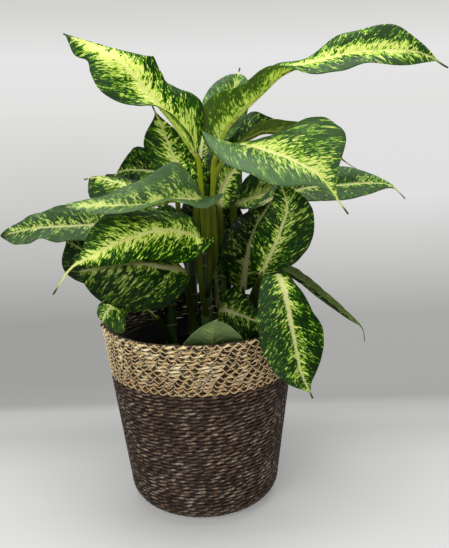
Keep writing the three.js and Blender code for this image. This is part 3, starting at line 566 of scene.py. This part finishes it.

# Each leaf, in mm: rib runs from inside its cane to the tip, the blade starts at rib point bladeAt, left
# and right hold the reach from the midrib to each edge at even stations, belly is the share of the length
# where it is widest, drip is the share taken by the thin tip, taper how pointed it is, and wave is (height,
# count, phase) of its edge. In its look flecks is how far the flecks spread, young how yellow they are, rib
# the half width of the cream midrib, bloom the share of its grey sheen, which is a painted
# reflection, dim how much painted shade darkens it, and lean gives its left half more flecks and yellow and
# its right half more painted sheen, or the other way round where it is below nought. What a leaf leaves out
# is as in plainLeaf and plainLook.
plainLeaf = {"bladeAt": 1, "belly": 0.45, "drip": 0.06, "taper": 0.75, "wave": (0, 0, 0)}
plainLook = {"flecks": 0.5, "young": 0.3, "rib": 1.8, "bloom": 0.1, "dim": 0.25, "lean": 0.0}
leaves = {
    "leaf_top_left": {
        "bladeAt": 3, "belly": 0.5, "drip": 0.02, "taper": 0.1,
        "look": {"flecks": 1.3, "young": 1.0, "rib": 1.5, "dim": 0.0, "lean": -0.2},
        "rib": [(8, 0, 240), (8, 0, 262), (6, -2, 340), (2, -6, 360), (-15, -18, 388), (-38, -30, 418),
            (-67, -35, 451), (-114, -25, 474)],
        "left": [(14, -24, 34), (4, -26, 24), (-4, -24, 19), (-8, -20, 8), (-16, -16, -5),
            (-22, -14, -13), (-26, -12, -17), (-23, -10, -16), (-13, -8, -16), (-16, -6, -27),
            (-5, -5, -26)],
        "right": [(34, 8, 44), (33, 10, 55), (24, 14, 38), (18, 18, 22), (14, 22, 13), (17, 24, 10),
            (22, 26, 11), (31, 26, 1), (29, 24, -3), (30, 20, -6), (20, 16, -4)]},
    "leaf_top_right": {
        "bladeAt": 3, "belly": 0.5, "drip": 0.05, "taper": 0.2,
        "look": {"flecks": 0.9, "young": 0.9, "rib": 1.4, "bloom": 0.2, "dim": 0.0, "lean": 0.1},
        "rib": [(9, 3, 238), (15, 8, 258), (18, 9, 330), (21, 8, 356), (33, 6, 384), (68, 0, 417),
            (95, -6, 437), (149, -25, 449), (205, -40, 448), (234, -45, 433)],
        "left": [(-30, 22, 18), (-32, 22, 20), (-24, 22, 18), (-14, 20, 13), (-5, 18, 10), (2, 16, 5),
            (-2, 14, 17), (-5, 12, 24), (4, 10, 39), (-6, 8, 38), (0, 5, 36)],
        "right": [(-46, -14, 30), (-45, -14, 28), (-36, -18, 20), (-20, -22, 9), (-12, -22, 7),
            (3, -24, -10), (2, -26, -14), (2, -24, -12), (2, -20, -22), (0, -12, -32),
            (0, -6, -28)]},
    "leaf_top_back": {
        "bladeAt": 3, "belly": 0.55, "drip": 0.08, "taper": 0.1,
        "look": {"flecks": 0.3, "young": 0.4, "bloom": 0.5, "dim": 0.0},
        "rib": [(29, 44, 238), (27, 46, 262), (22, 38, 330), (22, 34, 361), (30, 50, 392),
            (42, 70, 420), (50, 84, 444)],
        "left": [(-24, 0, 4), (-24, 0, 6), (-21, 0, 12), (-18, 0, 14)],
        "right": [(28, 0, 2), (26, 0, 4), (20, 0, 10), (16, 0, 12)]},
    "leaf_right_broad": {
        "bladeAt": 3, "belly": 0.5,
        "look": {"flecks": 0.85, "young": 0.75, "bloom": 0.5, "dim": 0.0, "lean": 0.6},
        "rib": [(9, -2, 236), (18, -4, 256), (18, -5, 325), (28, -12, 352), (45, -24, 368),
            (71, -42, 363), (95, -56, 354), (117, -66, 339), (139, -80, 308)],
        "left": [(0, 20, 10), (3, 22, 6), (5, 24, 4), (10, 21, 10), (18, 18, 23), (28, 14, 35),
            (34, 11, 38), (38, 7, 38), (18, 2, 20), (2, 0, 10), (0, 0, 10)],
        "right": [(-60, -12, 56), (-52, -18, 38), (-44, -22, 4), (-34, -22, -12), (-20, -22, -17),
            (-12, -20, -22), (-4, -16, -18), (0, -12, -13), (0, -8, -10), (0, -4, -6), (0, 0, -5)]},
    "leaf_left_upright": {
        "bladeAt": 2, "belly": 0.5,
        "look": {"flecks": 0.62, "young": 0.85, "rib": 1.4, "bloom": 0.0, "dim": 0.15},
        "rib": [(6, 2, 225), (0, 10, 250), (0, 18, 308), (-12, 28, 334), (-23, 36, 359), (-35, 42, 391),
            (-42, 44, 407)],
        "left": [(-28, 4, 4)], "right": [(28, 4, -6)]},
    "leaf_left_back": {
        "bladeAt": 3, "belly": 0.55, "look": {"flecks": 0.2, "rib": 2.0, "bloom": 0.0, "dim": 0.35},
        "rib": [(-31, 17, 212), (-24, 30, 240), (-20, 44, 290), (-26, 70, 332), (-46, 85, 336),
            (-81, 105, 337), (-98, 112, 329)],
        "left": [(0, -20, -6), (0, -22, -8)],
        "right": [(0, 12, 24), (0, 12, 24), (-5, 12, 25), (-2, 12, 21), (-3, 8, 18)]},
    "leaf_left_short": {
        "bladeAt": 2, "belly": 0.55, "taper": 0.1,
        "look": {"flecks": 0.6, "young": 0.4, "rib": 1.6, "bloom": 0.2, "dim": 0.1},
        "rib": [(-31, 17, 195), (-40, 27, 235), (-44, 32, 300), (-72, 45, 325), (-92, 50, 332),
            (-107, 54, 335), (-119, 54, 333)],
        "left": [(-2, -12, -20), (-2, -12, -22), (-8, -12, -24), (-20, -10, -23), (-14, -8, -28)],
        "right": [(0, 22, 4), (0, 22, 4), (0, 20, 3), (0, 16, 0), (0, 10, 0)]},
    "leaf_left_level": {
        "bladeAt": 3, "belly": 0.35, "drip": 0, "taper": 0.1,
        "look": {"flecks": 0.8, "young": 0.5, "rib": 1.5, "bloom": 0.65, "dim": 0.0},
        "rib": [(8, -2, 214), (12, -12, 240), (12, -11, 300), (9, -14, 315), (-20, -30, 319),
            (-44, -40, 316), (-78, -50, 318), (-121, -60, 319)],
        "left": [(60, -24, 30), (22, -26, -5), (7, -26, 1), (3, -26, 6), (2, -24, 3), (3, -24, 0),
            (3, -22, -4), (1, -20, -7), (0, -16, -7), (0, -12, -5), (0, -6, -6)],
        "right": [(-6, 5, 24), (4, 15, 35), (0, 22, 22), (-4, 22, 10), (-6, 15, 12)]},
    "leaf_left_far": {
        "bladeAt": 3, "belly": 0.5, "drip": 0, "taper": 0.1, "wave": (1.5, 5, 0),
        "look": {"flecks": 0.35, "young": 0.2, "rib": 1.6, "bloom": 0.5, "dim": 0.12, "lean": -0.4},
        "rib": [(-32, 17, 188), (-46, 5, 230), (-50, 5, 268), (-62, 5, 287), (-87, 5, 291),
            (-131, 0, 292), (-164, -5, 291), (-194, -10, 286)],
        "left": [(0, -15, -14), (0, -15, -14), (0, -15, -14), (-2, -14, -13), (-4, -12, -12),
            (-4, -12, -12), (-2, -12, -12), (-2, -12, -10), (-2, -13, -17), (-2, -12, -22),
            (0, -10, -14)],
        "right": [(0, 14, 20), (0, 14, 20), (0, 14, 19), (0, 14, 16), (0, 10, 16)]},
    "leaf_left_broad": {
        "bladeAt": 3, "belly": 0.5, "drip": 0.19,
        "look": {"flecks": 0.95, "young": 1.0, "rib": 1.2, "bloom": 0.0, "dim": 0.0, "lean": 0.4},
        "rib": [(7, -4, 196), (4, -15, 222), (3, -18, 262), (4, -20, 276), (-7, -27, 285),
            (-33, -44, 293), (-69, -60, 285), (-102, -70, 271), (-115, -74, 263), (-130, -80, 242)],
        "left": [(90, -30, 30), (20, -14, -34), (8, -12, -36), (4, -11, -28), (4, -10, -20),
            (5, -10, -19), (5, -8, -20), (5, -6, -22), (5, -4, -20), (5, -2, -14), (5, 0, -10)],
        "right": [(9, 20, 32), (0, 26, 15), (-16, 24, 24), (-22, 10, 18), (-10, 0, 10)]},
    "leaf_left_drooping": {
        "bladeAt": 2, "belly": 0.5, "drip": 0.04, "taper": 0.2,
        "look": {"flecks": 0.6, "young": 0.6, "rib": 2.6, "bloom": 0.05, "dim": 0.5},
        "rib": [(6, -2, 166), (-9, -13, 206), (-10, -30, 246), (-34, -50, 259), (-60, -58, 265),
            (-87, -62, 262), (-113, -62, 258)],
        "left": [(24, -12, -16), (6, -12, -40), (3, -10, -41), (-3, -8, -45), (-6, -4, -56)],
        "right": [(-10, 22, 10), (0, 26, 8), (0, 26, 8)]},
    "leaf_left_curled": {
        "belly": 0.5, "drip": 0.14, "look": {"flecks": 0.05, "young": 0.1, "dim": 0.4},
        "rib": [(-32, 16, 175), (-56, 12, 225), (-82, 14, 249), (-111, 10, 261), (-122, 8, 269),
            (-134, 5, 279), (-130, 4, 291)],
        "left": [(-10, -5, -24), (-26, -5, -22), (-56, -5, -8)], "right": [(-2, 5, 20)]},
    "leaf_rim_left": {
        "belly": 0.6, "taper": 0.1,
        "look": {"flecks": 0.4, "young": 0.5, "rib": 2.4, "bloom": 0.2, "dim": 0.1},
        "rib": [(-31, 16, 160), (-42, -20, 200), (-55, -45, 220), (-72, -61, 227), (-82, -76, 224),
            (-87, -88, 213)],
        "left": [(0, -4, -4), (0, -6, -5), (-2, -8, -7), (12, -8, -28), (20, -8, -42)],
        "right": [(-8, 8, 0), (-8, 8, 0), (-8, 8, 2), (-13, 8, 2), (-20, 4, -4)]},
    "leaf_rim_front": {
        "belly": 0.55, "taper": 0.2,
        "look": {"flecks": 0.3, "young": 0.0, "rib": 1.2, "bloom": 0.9, "dim": 0.0},
        "rib": [(9, -1, 160), (13, -36, 170), (14, -78, 190), (17, -88, 212), (22, -91, 219)],
        "left": [(28, 0, 2)], "right": [(-28, 0, -2)]},
    "leaf_rim_middle": {
        "belly": 0.5, "look": {"flecks": 0.4, "young": 0.4, "rib": 2.0, "bloom": 0.0, "dim": 0.5},
        "rib": [(9, 0, 178), (20, -12, 200), (27, -32, 209), (43, -50, 208), (54, -60, 206),
            (70, -70, 204)],
        "left": [(2, 8, 20)], "right": [(-2, -8, -26)]},
    "leaf_rim_right": {
        "bladeAt": 2, "belly": 0.5, "drip": 0.05, "taper": 0.3, "wave": (1, 4, 0),
        "look": {"flecks": 0.32, "young": 0.5, "rib": 2.4, "bloom": 0.08, "dim": 0.0, "lean": 0.2},
        "rib": [(50, -8, 165), (62, -38, 215), (70, -58, 244), (76, -74, 252), (81, -90, 239),
            (87, -98, 205), (94, -98, 168), (105, -96, 140)],
        "left": [(14, 4, 0), (14, 4, 0), (15, 4, -2), (18, 4, -2), (21, 4, -2), (26, 4, 0), (27, 4, 0),
            (28, 4, 2), (25, 4, 0), (17, 4, -2), (12, 4, 0)],
        "right": [(-22, 4, 0), (-22, 4, -2), (-24, 4, -4), (-26, 4, -4), (-27, 4, -3), (-29, 4, -2),
            (-32, 4, -2), (-33, 4, -4), (-37, 4, -9), (-40, 4, -12), (-24, 0, 0)]},
    "leaf_right_narrow": {
        "look": {"flecks": 0.3, "young": 0.2, "dim": 0.3},
        "rib": [(50, -8, 190), (68, 0, 234), (87, 3, 236), (104, 5, 226), (122, 8, 210), (153, 12, 185),
            (170, 15, 172), (174, 15, 156)],
        "left": [(3, -14, 4)], "right": [(3, 20, 10), (3, 20, 7), (5, 20, 9)]},
    "leaf_right_back": {
        "bladeAt": 3, "belly": 0.4, "drip": 0.12,
        "look": {"flecks": 0.15, "young": 0.5, "dim": 0.15, "lean": 0.3},
        "rib": [(29, 44, 222), (37, 52, 255), (38, 56, 320), (43, 62, 360), (63, 75, 373),
            (82, 85, 376), (127, 105, 367), (169, 122, 339), (190, 128, 325)],
        "left": [(-30, 12, 16), (-16, 12, 20), (-8, 12, 24), (-4, 12, 16), (-2, 12, 10), (0, 12, 9),
            (0, 12, 8), (0, 12, 8), (0, 12, 10), (0, 12, 10), (0, 12, 8)],
        "right": [(0, -20, 14)]},
    "leaf_right_far": {
        "bladeAt": 3, "belly": 0.5, "drip": 0.08,
        "look": {"flecks": 0.1, "young": 0.2, "bloom": 0.45, "dim": 0.0},
        "rib": [(29, 44, 176), (48, 42, 235), (57, 34, 272), (66, 28, 303), (110, 35, 318),
            (147, 42, 320), (184, 48, 321), (207, 50, 317), (222, 50, 303)],
        "left": [(0, 14, 20), (0, 14, 19), (0, 14, 13)],
        "right": [(0, -20, -11), (0, -20, -12), (0, -18, -20)]},
    "leaf_right_oval": {
        "bladeAt": 2,
        "look": {"flecks": 0.45, "young": 0.45, "rib": 1.5, "bloom": 0.0, "dim": 0.1, "lean": 0.2},
        "rib": [(50, -8, 198), (54, -28, 222), (62, -40, 245), (72, -50, 269), (81, -53, 292),
            (87, -49, 314), (78, -38, 343)],
        "left": [(-20, 4, 8), (-20, 4, 6), (-22, 4, 0), (-26, 4, 0)],
        "right": [(30, 2, -6), (32, 2, -2), (29, 2, 4), (34, 2, 4)]},
    "leaf_right_inner": {
        "bladeAt": 2, "belly": 0.5,
        "look": {"flecks": 0.2, "young": 0.2, "rib": 2.6, "bloom": 0.0, "dim": 0.66},
        "rib": [(50, -8, 180), (45, -10, 213), (45, -14, 224), (48, -26, 252), (52, -32, 273),
            (61, -32, 296), (79, -18, 318)],
        "left": [(-28, 0, 2), (-26, 0, 2), (-30, 0, 12)], "right": [(24, 0, -4)]},
    "leaf_right_hidden": {
        "bladeAt": 3, "look": {"flecks": 0.8, "rib": 2.0, "dim": 0.2},
        "rib": [(29, 44, 208), (34, 31, 242), (38, 36, 285), (42, 40, 302), (63, 54, 309),
            (89, 66, 315), (117, 76, 321)],
        "left": [(0, 6, 28)], "right": [(0, -18, -8)]},
    "leaf_middle_small": {
        "bladeAt": 2, "look": {"flecks": 0.6, "young": 0.6, "rib": 3.0, "dim": 0.1},
        "rib": [(29, 44, 234), (24, 26, 272), (24, 14, 305), (27, 20, 322), (38, 35, 338),
            (52, 50, 349)],
        "left": [(-10, 0, 10)], "right": [(12, 0, -14)]},
    "leaf_back_top": {
        "wave": (2, 3, 0.2),
        "rib": [(-8, 56, 240), (0, 70, 320), (8, 115, 372), (14, 165, 366), (16, 200, 330)],
        "left": [(-34, 0, 6), (-34, 0, 0)], "right": [(34, 0, 6), (34, 0, 0)]},
    "leaf_back_left": {
        "wave": (2, 3, 0.5),
        "rib": [(-10, 57, 225), (-40, 105, 292), (-70, 140, 322), (-105, 168, 316), (-130, 182, 284)],
        "left": [(-16, -26, 8)], "right": [(18, 26, 10)]},
    "leaf_back_right": {
        "wave": (2, 3, 0.1),
        "rib": [(30, 48, 215), (62, 80, 300), (92, 112, 328), (126, 138, 318), (146, 152, 296)],
        "left": [(-18, 24, 10)], "right": [(18, -26, 8)]},
    "leaf_back_middle": {
        "wave": (2, 4, 0.3),
        "rib": [(-8, 58, 205), (0, 95, 262), (4, 130, 282), (6, 165, 262), (8, 185, 225)],
        "left": [(-32, 0, 8)], "right": [(32, 0, 8)]},
    "leaf_back_low_left": {
        "wave": (2, 3, 0.7),
        "rib": [(-10, 57, 185), (-42, 62, 248), (-52, 74, 280), (-74, 104, 284), (-98, 126, 252)],
        "left": [(-16, -16, 8)], "right": [(30, -4, 12)]},
    "leaf_back_low_right": {
        "wave": (2, 3, 0.4),
        "rib": [(29, 47, 185), (52, 85, 240), (70, 112, 262), (88, 138, 250), (96, 152, 218)],
        "left": [(-18, 16, 8)], "right": [(18, -16, 8)]},
    "leaf_back_rim": {
        "wave": (1.5, 4, 0.1),
        "rib": [(-9, 57, 165), (-20, 90, 212), (-26, 112, 218), (-32, 128, 190), (-34, 132, 152)],
        "left": [(-28, 0, 6)], "right": [(28, 0, 6)]},
    "leaf_back_stems": {
        "taper": 0.3, "wave": (2, 3, 0.6),
        "look": {"flecks": 0.3, "young": 0.2, "bloom": 0.0, "dim": 0.6},
        "rib": [(27, 45, 168), (20, 58, 184), (17, 68, 220), (12, 84, 268), (7, 92, 312),
            (-4, 104, 348)],
        "left": [(-2, 0, 6), (-32, 0, 4), (-30, 0, 2)], "right": [(8, -4, 4), (40, -4, 2), (46, -4, 2)]},
}
blade = {
    "along": 97, "across": 33, "thickness": 0.6, "bulge": 2.0, "veinPitch": 8.0, "veinDepth": 0.3,
    "quilt": 0.25, "veinLean": 0.55, "veinCurve": 0.011, "sideShift": 3, "ruffle": 0.5,
    "stalkHalfWidth": 2.0, "tipHalfWidth": 0.8, "stalkRadius": 3.0, "stalkSides": 14, "stalkSteps": 36,
    "keelRadius": 1.7, "keelTip": 0.25, "keelSteps": 40, "mmPerUv": 100,
}


def bladeShare(u, belly, drip, taper):
    # half width as a share of the reach: a sine whose peak sits at the belly, raised to a power that grows
    # by taper
    along = np.minimum(1, u / (1 - drip))
    swell = np.maximum(0, np.sin(np.pi * along ** (math.log(0.5) / math.log(belly))))
    return swell ** (0.62 + taper * along ** 2)


def pairs(first, second, times=1):
    # one pair of numbers for each point of a grid, all of them as often as there are layers of points
    return np.tile(np.stack(np.broadcast_arrays(first, second), -1).reshape(-1, 2), (times, 1))


def ribRun(leaf, stations):
    # the blade's midrib at even shares of its length, and that length
    fine = smoothRun(leaf["rib"], np.linspace(leaf["bladeAt"], len(leaf["rib"]) - 1, 900))
    run = runLength(fine)
    return readAt(stations, run / run[-1], fine), run[-1]


def slabFaces(rows, columns):
    # an upper and a lower grid, closed round their edge by a strip of quads
    grid, below = gridFaces(rows, columns), rows * columns
    edge = np.concatenate([
        np.arange(columns - 1), np.arange(rows - 1) * columns + columns - 1,
        (rows - 1) * columns + np.arange(columns - 1, 0, -1), np.arange(rows - 1, 0, -1) * columns])
    after = np.roll(edge, -1)
    return [grid[:, ::-1], grid + below, np.stack([after, edge, below + edge, below + after], 1)]


def bladeSheet(leaf, rng):
    # the midrib point, plus reach times share and width, plus a narrow level strip, plus lifts along the
    # normal: a bulge in each half, a waved edge, small ruffles, and a groove along each side vein with the
    # skin raised between; the underside is the same grid set down by the thickness
    u = np.linspace(0, 1, blade["along"])
    v = np.linspace(-1, 1, blade["across"])
    rib, length = ribRun(leaf, u)
    heading = unit(ribRun(leaf, np.minimum(1, u + 0.02))[0] - ribRun(leaf, np.maximum(0, u - 0.02))[0])
    reachAt = lambda side, at: smoothRun(leaf[side], at * max(1, len(leaf[side]) - 1))
    left, right = reachAt("left", u), reachAt("right", u)
    level = reachAt("right", np.maximum(u, 0.1)) - reachAt("left", np.maximum(u, 0.1))
    level = unit(level - (level * heading).sum(1, keepdims=True) * heading)
    share = bladeShare(u, leaf["belly"], leaf["drip"], leaf["taper"])
    width = np.abs(v)
    isLeft = (v < 0)[None, :, None]
    arm = np.where(isLeft, left[:, None], right[:, None])
    normal = unit(np.where(isLeft, np.cross(-left, heading)[:, None], np.cross(right, heading)[:, None]))
    strip = blade["stalkHalfWidth"] + (blade["tipHalfWidth"] - blade["stalkHalfWidth"]) * u
    height, count, phase = leaf["wave"]
    side = np.where(v < 0, 0, 1)
    wave = height * width ** 2 * np.minimum(1, 1.5 * share)[:, None] * np.sin(
        2 * np.pi * (count * u[:, None] + phase + 0.35 * side))
    out = np.linalg.norm(arm, axis=2) * share[:, None] * width
    curve = blade["veinLean"] * out + blade["veinCurve"] * out ** 2
    vein = u[:, None] * length - curve + blade["sideShift"] * side
    fade = share[:, None] * np.clip(1.15 - width, 0, 1)
    line = (0.5 + 0.5 * np.cos(2 * np.pi * vein / blade["veinPitch"])) ** 4
    ribs = fade * np.minimum(1, width * 6) * (blade["quilt"] * (1 - line) - blade["veinDepth"] * line)
    edgePhase = rng.uniform(0, 2 * np.pi, 8)
    ruffle = blade["ruffle"] * width ** 3 * share[:, None] * wavySum(
        u[:, None] * 2 * np.pi + 2 * side, rng.uniform(3, 12, 4), (0.8, 0.6, 0.4, 0.3), edgePhase[:4])
    lift = 4 * width * (1 - width) * blade["bulge"] * share[:, None] + wave + ribs + ruffle
    upper = (rib[:, None] + arm * (share[:, None] * width)[..., None]
             + level[:, None] * (strip[:, None] * v)[..., None] + normal * lift[..., None])
    alongStep, acrossStep = np.gradient(upper, axis=0), np.gradient(upper, axis=1)
    down = -unit(np.cross(acrossStep, alongStep))
    lower = upper + down * blade["thickness"] * (1 - 0.5 * width[None, :, None] ** 4)
    sheet = (np.stack([upper, lower]), slabFaces(len(u), len(v)), {
        "blade": pairs(u[:, None], v, 2),
        "veins": pairs(vein, np.where(v < 0, -out, out), 2) / blade["mmPerUv"],
        "under": np.repeat([0.0, 1.0], vein.size), "stalk": 0.0})
    return sheet, upper[:, len(v) // 2], level, heading


def stalkSheet(leaf, midrib, level, heading):
    # a tube along the rib from the cane, grooved on top, which goes on under the blade's midrib as a keel
    # that thins to the tip
    u = np.linspace(0, 1, len(midrib))
    stalk = smoothRun(leaf["rib"], np.linspace(0, leaf["bladeAt"], blade["stalkSteps"], endpoint=False))
    ribU = np.linspace(0, 0.97, blade["keelSteps"])
    keelRadius = blade["keelTip"] + (blade["keelRadius"] - blade["keelTip"]) * (1 - ribU) ** 0.9
    under = -unit(np.cross(readAt(ribU, u, level), readAt(ribU, u, heading)))
    sunk = (keelRadius + 0.2) * np.minimum(1, 0.4 + ribU * 12)
    keel = readAt(ribU, u, midrib) + under * sunk[:, None]
    path = np.concatenate([stalk, keel])
    rise = np.linspace(0, 1, len(stalk))
    stalkRadius = blade["stalkRadius"] * (1.05 - 0.2 * rise)
    radius = np.concatenate([stalkRadius, keelRadius * (1 + 0.25 * np.exp(-ribU * 12))])
    forward = unit(np.gradient(path, axis=0))
    outwards = np.array(leaf["rib"][-1], float) - leaf["rib"][0]
    flank = unit(np.cross([0, 0, 1.0], outwards))
    flank = unit(flank - (forward * flank).sum(1, keepdims=True) * forward)
    inner = np.cross(forward, flank)
    angle = np.linspace(0, 2 * np.pi, blade["stalkSides"], endpoint=False)
    groove = np.concatenate([1 - 0.5 * rise, np.zeros(len(keel))])[:, None]
    fromGroove = np.abs((angle + np.pi) % (2 * np.pi) - np.pi)
    lips = np.exp(-(((fromGroove - 0.8) / 0.35) ** 2))
    section = 1 + groove * (0.12 * lips - 0.30 * np.maximum(0, np.cos(angle)) ** 6)
    tube = path[:, None] + (radius[:, None] * section)[..., None] * (
        np.cos(angle)[:, None] * inner[:, None] + np.sin(angle)[:, None] * flank[:, None])
    sides = len(angle)
    tubeFaces = [gridFaces(len(path), sides, False, True), np.arange(sides)[None, ::-1],
                 (len(path) - 1) * sides + np.arange(sides)[None]]
    place, gone = np.r_[np.zeros(len(stalk)), ribU], runLength(path)
    return tube, tubeFaces, {
        "blade": pairs(place[:, None], 0 * angle),
        "veins": pairs(gone[:, None], 3 * np.sin(angle)) / blade["mmPerUv"],
        "under": 1.0, "stalk": np.r_[np.ones(len(stalk)), 0.7 * (1 - ribU) ** 2].repeat(sides)}


# Dieffenbachia leaf: thin waxy blade, dark green with yellow-green flecks that run out along the side veins
# from a cream midrib, satin on top and paler beneath, and lit through where light falls on its back.
bladeSkin = bpy.data.materials.new("dieffenbachiaBlade")
add = clearNodes(bladeSkin)
under, stalkShare, seed, flecks, young, ribWidth, bloom, dim, lean = [
    add("Attribute", out="Fac", attribute_name=name)
    for name in ("under", "stalk", "seed", "flecks", "young", "rib", "bloom", "dim", "lean")]
shareUv, veinUv = [add("SeparateXYZ", [add("UVMap", uv_map=name)], None) for name in uvNames]
alongShare, acrossShare = shareUv.outputs["X"], shareUv.outputs["Y"]
veinMm, outMm = [
    add("Math", [veinUv.outputs[axis], blade["mmPerUv"]], operation="MULTIPLY") for axis in "XY"]
widthShare, outAbs = [add("Math", [side], operation="ABSOLUTE") for side in (acrossShare, outMm)]


def veinNoise(alongVein, acrossVein, shift, detail=1.0, distortion=0.3):
    # noise drawn out along the side veins; both sizes in mm
    spot = add("CombineXYZ", [
        add("Math", [veinMm, acrossVein], operation="DIVIDE"),
        add("Math", [outMm, alongVein], operation="DIVIDE"),
        add("Math", [seed, 7.31, shift], operation="MULTIPLY_ADD")])
    return add("TexNoise", {
        "Vector": spot, "Scale": 1.0, "Detail": detail, "Roughness": 0.6, "Distortion": distortion})


# Where the flecks are: noise, more of it near the midrib and on the side veins, less at the edge and the tip.
fleckNoise = veinNoise(5.0, 1.9, 0.0, 2.0, 0.9)
patchNoise = veinNoise(15.0, 8.0, 31.0)
speckNoise = veinNoise(2.6, 1.6, 57.0)
rightward = add("Math", [lean, add("Math", [acrossShare], operation="SIGN")], operation="MULTIPLY")
fall = {"To Min": 1.0, "To Max": 0.0}
inward = add("MapRange", {"Value": widthShare, "From Min": 0.12, "From Max": 0.9, **fall}, **smooth)
tipFade = add("MapRange", {"Value": alongShare, "From Min": 0.8, "From Max": 0.98, **fall}, **smooth)
nearRib = add("MapRange", {"Value": outAbs, "From Min": 0.5, "From Max": 13.0, **fall}, **smooth)
spread = add("Math", [rightward, -0.2, flecks], operation="MULTIPLY_ADD")
for part in (inward, tipFade):
    spread = add("Math", [spread, part], operation="MULTIPLY")
turns = add("Math", [veinMm, 2 * math.pi / blade["veinPitch"]], operation="MULTIPLY")
crest = add("Math", [add("Math", [turns], operation="COSINE"), 0.5, 0.5], operation="MULTIPLY_ADD")
veinLine = add("Math", [add("Math", [crest, 3.0], operation="POWER"), inward], operation="MULTIPLY")
signal = add("Math", [fleckNoise, 3.2, -2.93], operation="MULTIPLY_ADD")
for part, weight in ((patchNoise, 1.3), (speckNoise, 1.5), (nearRib, 0.24), (spread, 0.5), (veinLine, 0.1)):
    signal = add("Math", [part, weight, signal], operation="MULTIPLY_ADD")

# Flecked green, greyed by a painted sheen that stands for light reflected off its wax, with the midrib, the
# paler underside, the stalk and the dry tip.
mature = add("ValToRGB", [signal], stops=[
    (0.05, "#081e03"), (0.36, "#143a09"), (0.47, "#2c620e"), (0.57, "#569014"), (0.68, "#98bc30"),
    (0.9, "#e0e88c")])
fresh = add("ValToRGB", [signal], stops=[
    (0.05, "#0e2e03"), (0.34, "#1e5205"), (0.45, "#428a08"), (0.55, "#7cbc0a"), (0.66, "#bce422"),
    (0.88, "#fcff96")])
youth = add("Math", [rightward, -0.3, young], operation="MULTIPLY_ADD", use_clamp=True)
# painted sheen: a grey green mixed into the colour, more of it towards the edges, for light reflected off the
# wax
sheenShare = add("Math", [rightward, 0.3, bloom], operation="MULTIPLY_ADD")
sheenShare = add("Math", [sheenShare, 0.0], operation="MAXIMUM")
middle = add("Math", [inward, -0.45, 0.8], operation="MULTIPLY_ADD")
sheen = add("Math", [sheenShare, middle], operation="MULTIPLY", use_clamp=True)
toTip = add("Math", [1.02, alongShare], operation="SUBTRACT", use_clamp=True)
ribHalf = add("Math", [ribWidth, add("Math", [toTip, 0.8], operation="POWER")], operation="MULTIPLY")
frayed = add("Math", [fleckNoise, 0.5], operation="SUBTRACT")
ribEdge = add("MapRange", {
    "Value": add("Math", [frayed, 5.0, outAbs], operation="MULTIPLY_ADD"),
    "From Min": add("Math", [ribHalf, 0.65], operation="MULTIPLY"),
    "From Max": add("Math", [ribHalf, 1.2, 0.25], operation="MULTIPLY_ADD"),
    "To Min": 0.92, "To Max": 0.0}, **smooth)
cream = add("Mix", {0: young, 6: "#dcdca4", 7: "#f6f4a4"}, **asColour)
pale = add("Mix", {0: young, 6: "#8ca468", 7: "#c4dc3c"}, **asColour)
colour = add("Mix", {0: youth, 6: mature, 7: fresh}, **asColour)
colour = add("Mix", {0: sheen, 6: colour, 7: "#7a9c6c"}, **asColour)
colour = add("Mix", {0: ribEdge, 6: colour, 7: cream}, **asColour)
paleness = add("Math", [young, -0.65, 0.7], operation="MULTIPLY_ADD")
underside = add("Mix", {0: paleness, 6: colour, 7: pale}, **asColour)
stalkGreen = add("ValToRGB", [veinNoise(1.2, 16.0, 83.0, 3.0, 0.0)], stops=[
    (0.3, "#3c5a14"), (0.5, "#5c7a24"), (0.7, "#8a9a48")])
yellowing = add("Math", [young, 0.65], operation="MULTIPLY")
stalkColour = add("Mix", {0: yellowing, 6: stalkGreen, 7: "#bcc628"}, **asColour)
dryTip = add("MapRange", {"Value": alongShare, "From Min": 0.93, "From Max": 0.98}, **smooth)
for factor, other in ((under, underside), (stalkShare, stalkColour), (dryTip, "#33481a")):
    colour = add("Mix", {0: factor, 6: colour, 7: other}, **asColour)

# Painted shade: stalks darken low down, and a leaf whose dim is above nought is darker all over.
objectAt = add("TexCoord", out="Object")
heightAt = add("SeparateXYZ", [objectAt], "Z")
low = add("MapRange", {"Value": heightAt, "From Min": 0.22, "From Max": 0.37, **fall}, **smooth)
lowShade = add("Math", [low, stalkShare], operation="MULTIPLY")
elsewhere = add("Math", [dim, add("Math", [1.0, lowShade], operation="SUBTRACT")], operation="MULTIPLY")
shade = add("Math", [lowShade, 0.92, elsewhere], operation="MULTIPLY_ADD", use_clamp=True)
colour = add("VectorMath", {0: colour, 3: add("Math", [1.0, shade], operation="SUBTRACT")}, operation="SCALE")

rough = add("MapRange", {"Value": patchNoise, "To Min": 0.36, "To Max": 0.5})
pores = add("TexNoise", {"Vector": objectAt, "Scale": 500.0, "Detail": 3.0})
bump = add("Bump", {"Height": pores, "Strength": 0.25, "Distance": 0.0004})
wax = add("BsdfPrincipled", {
    "Base Color": colour, "Roughness": rough, "Specular IOR Level": 0.1, "Normal": bump})
sunny = add("Math", [young, 0.3, 0.06], operation="MULTIPLY_ADD")
through = add("BsdfTranslucent", {"Color": add("Mix", {0: sunny, 6: colour, 7: "#c4e628"}, **asColour)})
add("OutputMaterial", [add("MixShader", [0.38, wax, through])], None)

for number, (name, leaf) in enumerate(leaves.items(), 1):
    leaf = {**plainLeaf, **leaf}
    own = {"seed": float(number), **plainLook, **leaf.get("look", {})}
    sheet, *midribFrame = bladeSheet(leaf, np.random.default_rng(number))
    sheets = [(points, faces, {**layers, **own})
              for points, faces, layers in (sheet, stalkSheet(leaf, *midribFrame))]
    makePiece(f"{name}_grown", sheets, bladeSkin, [name])
print("leaves grown:", len(leaves))
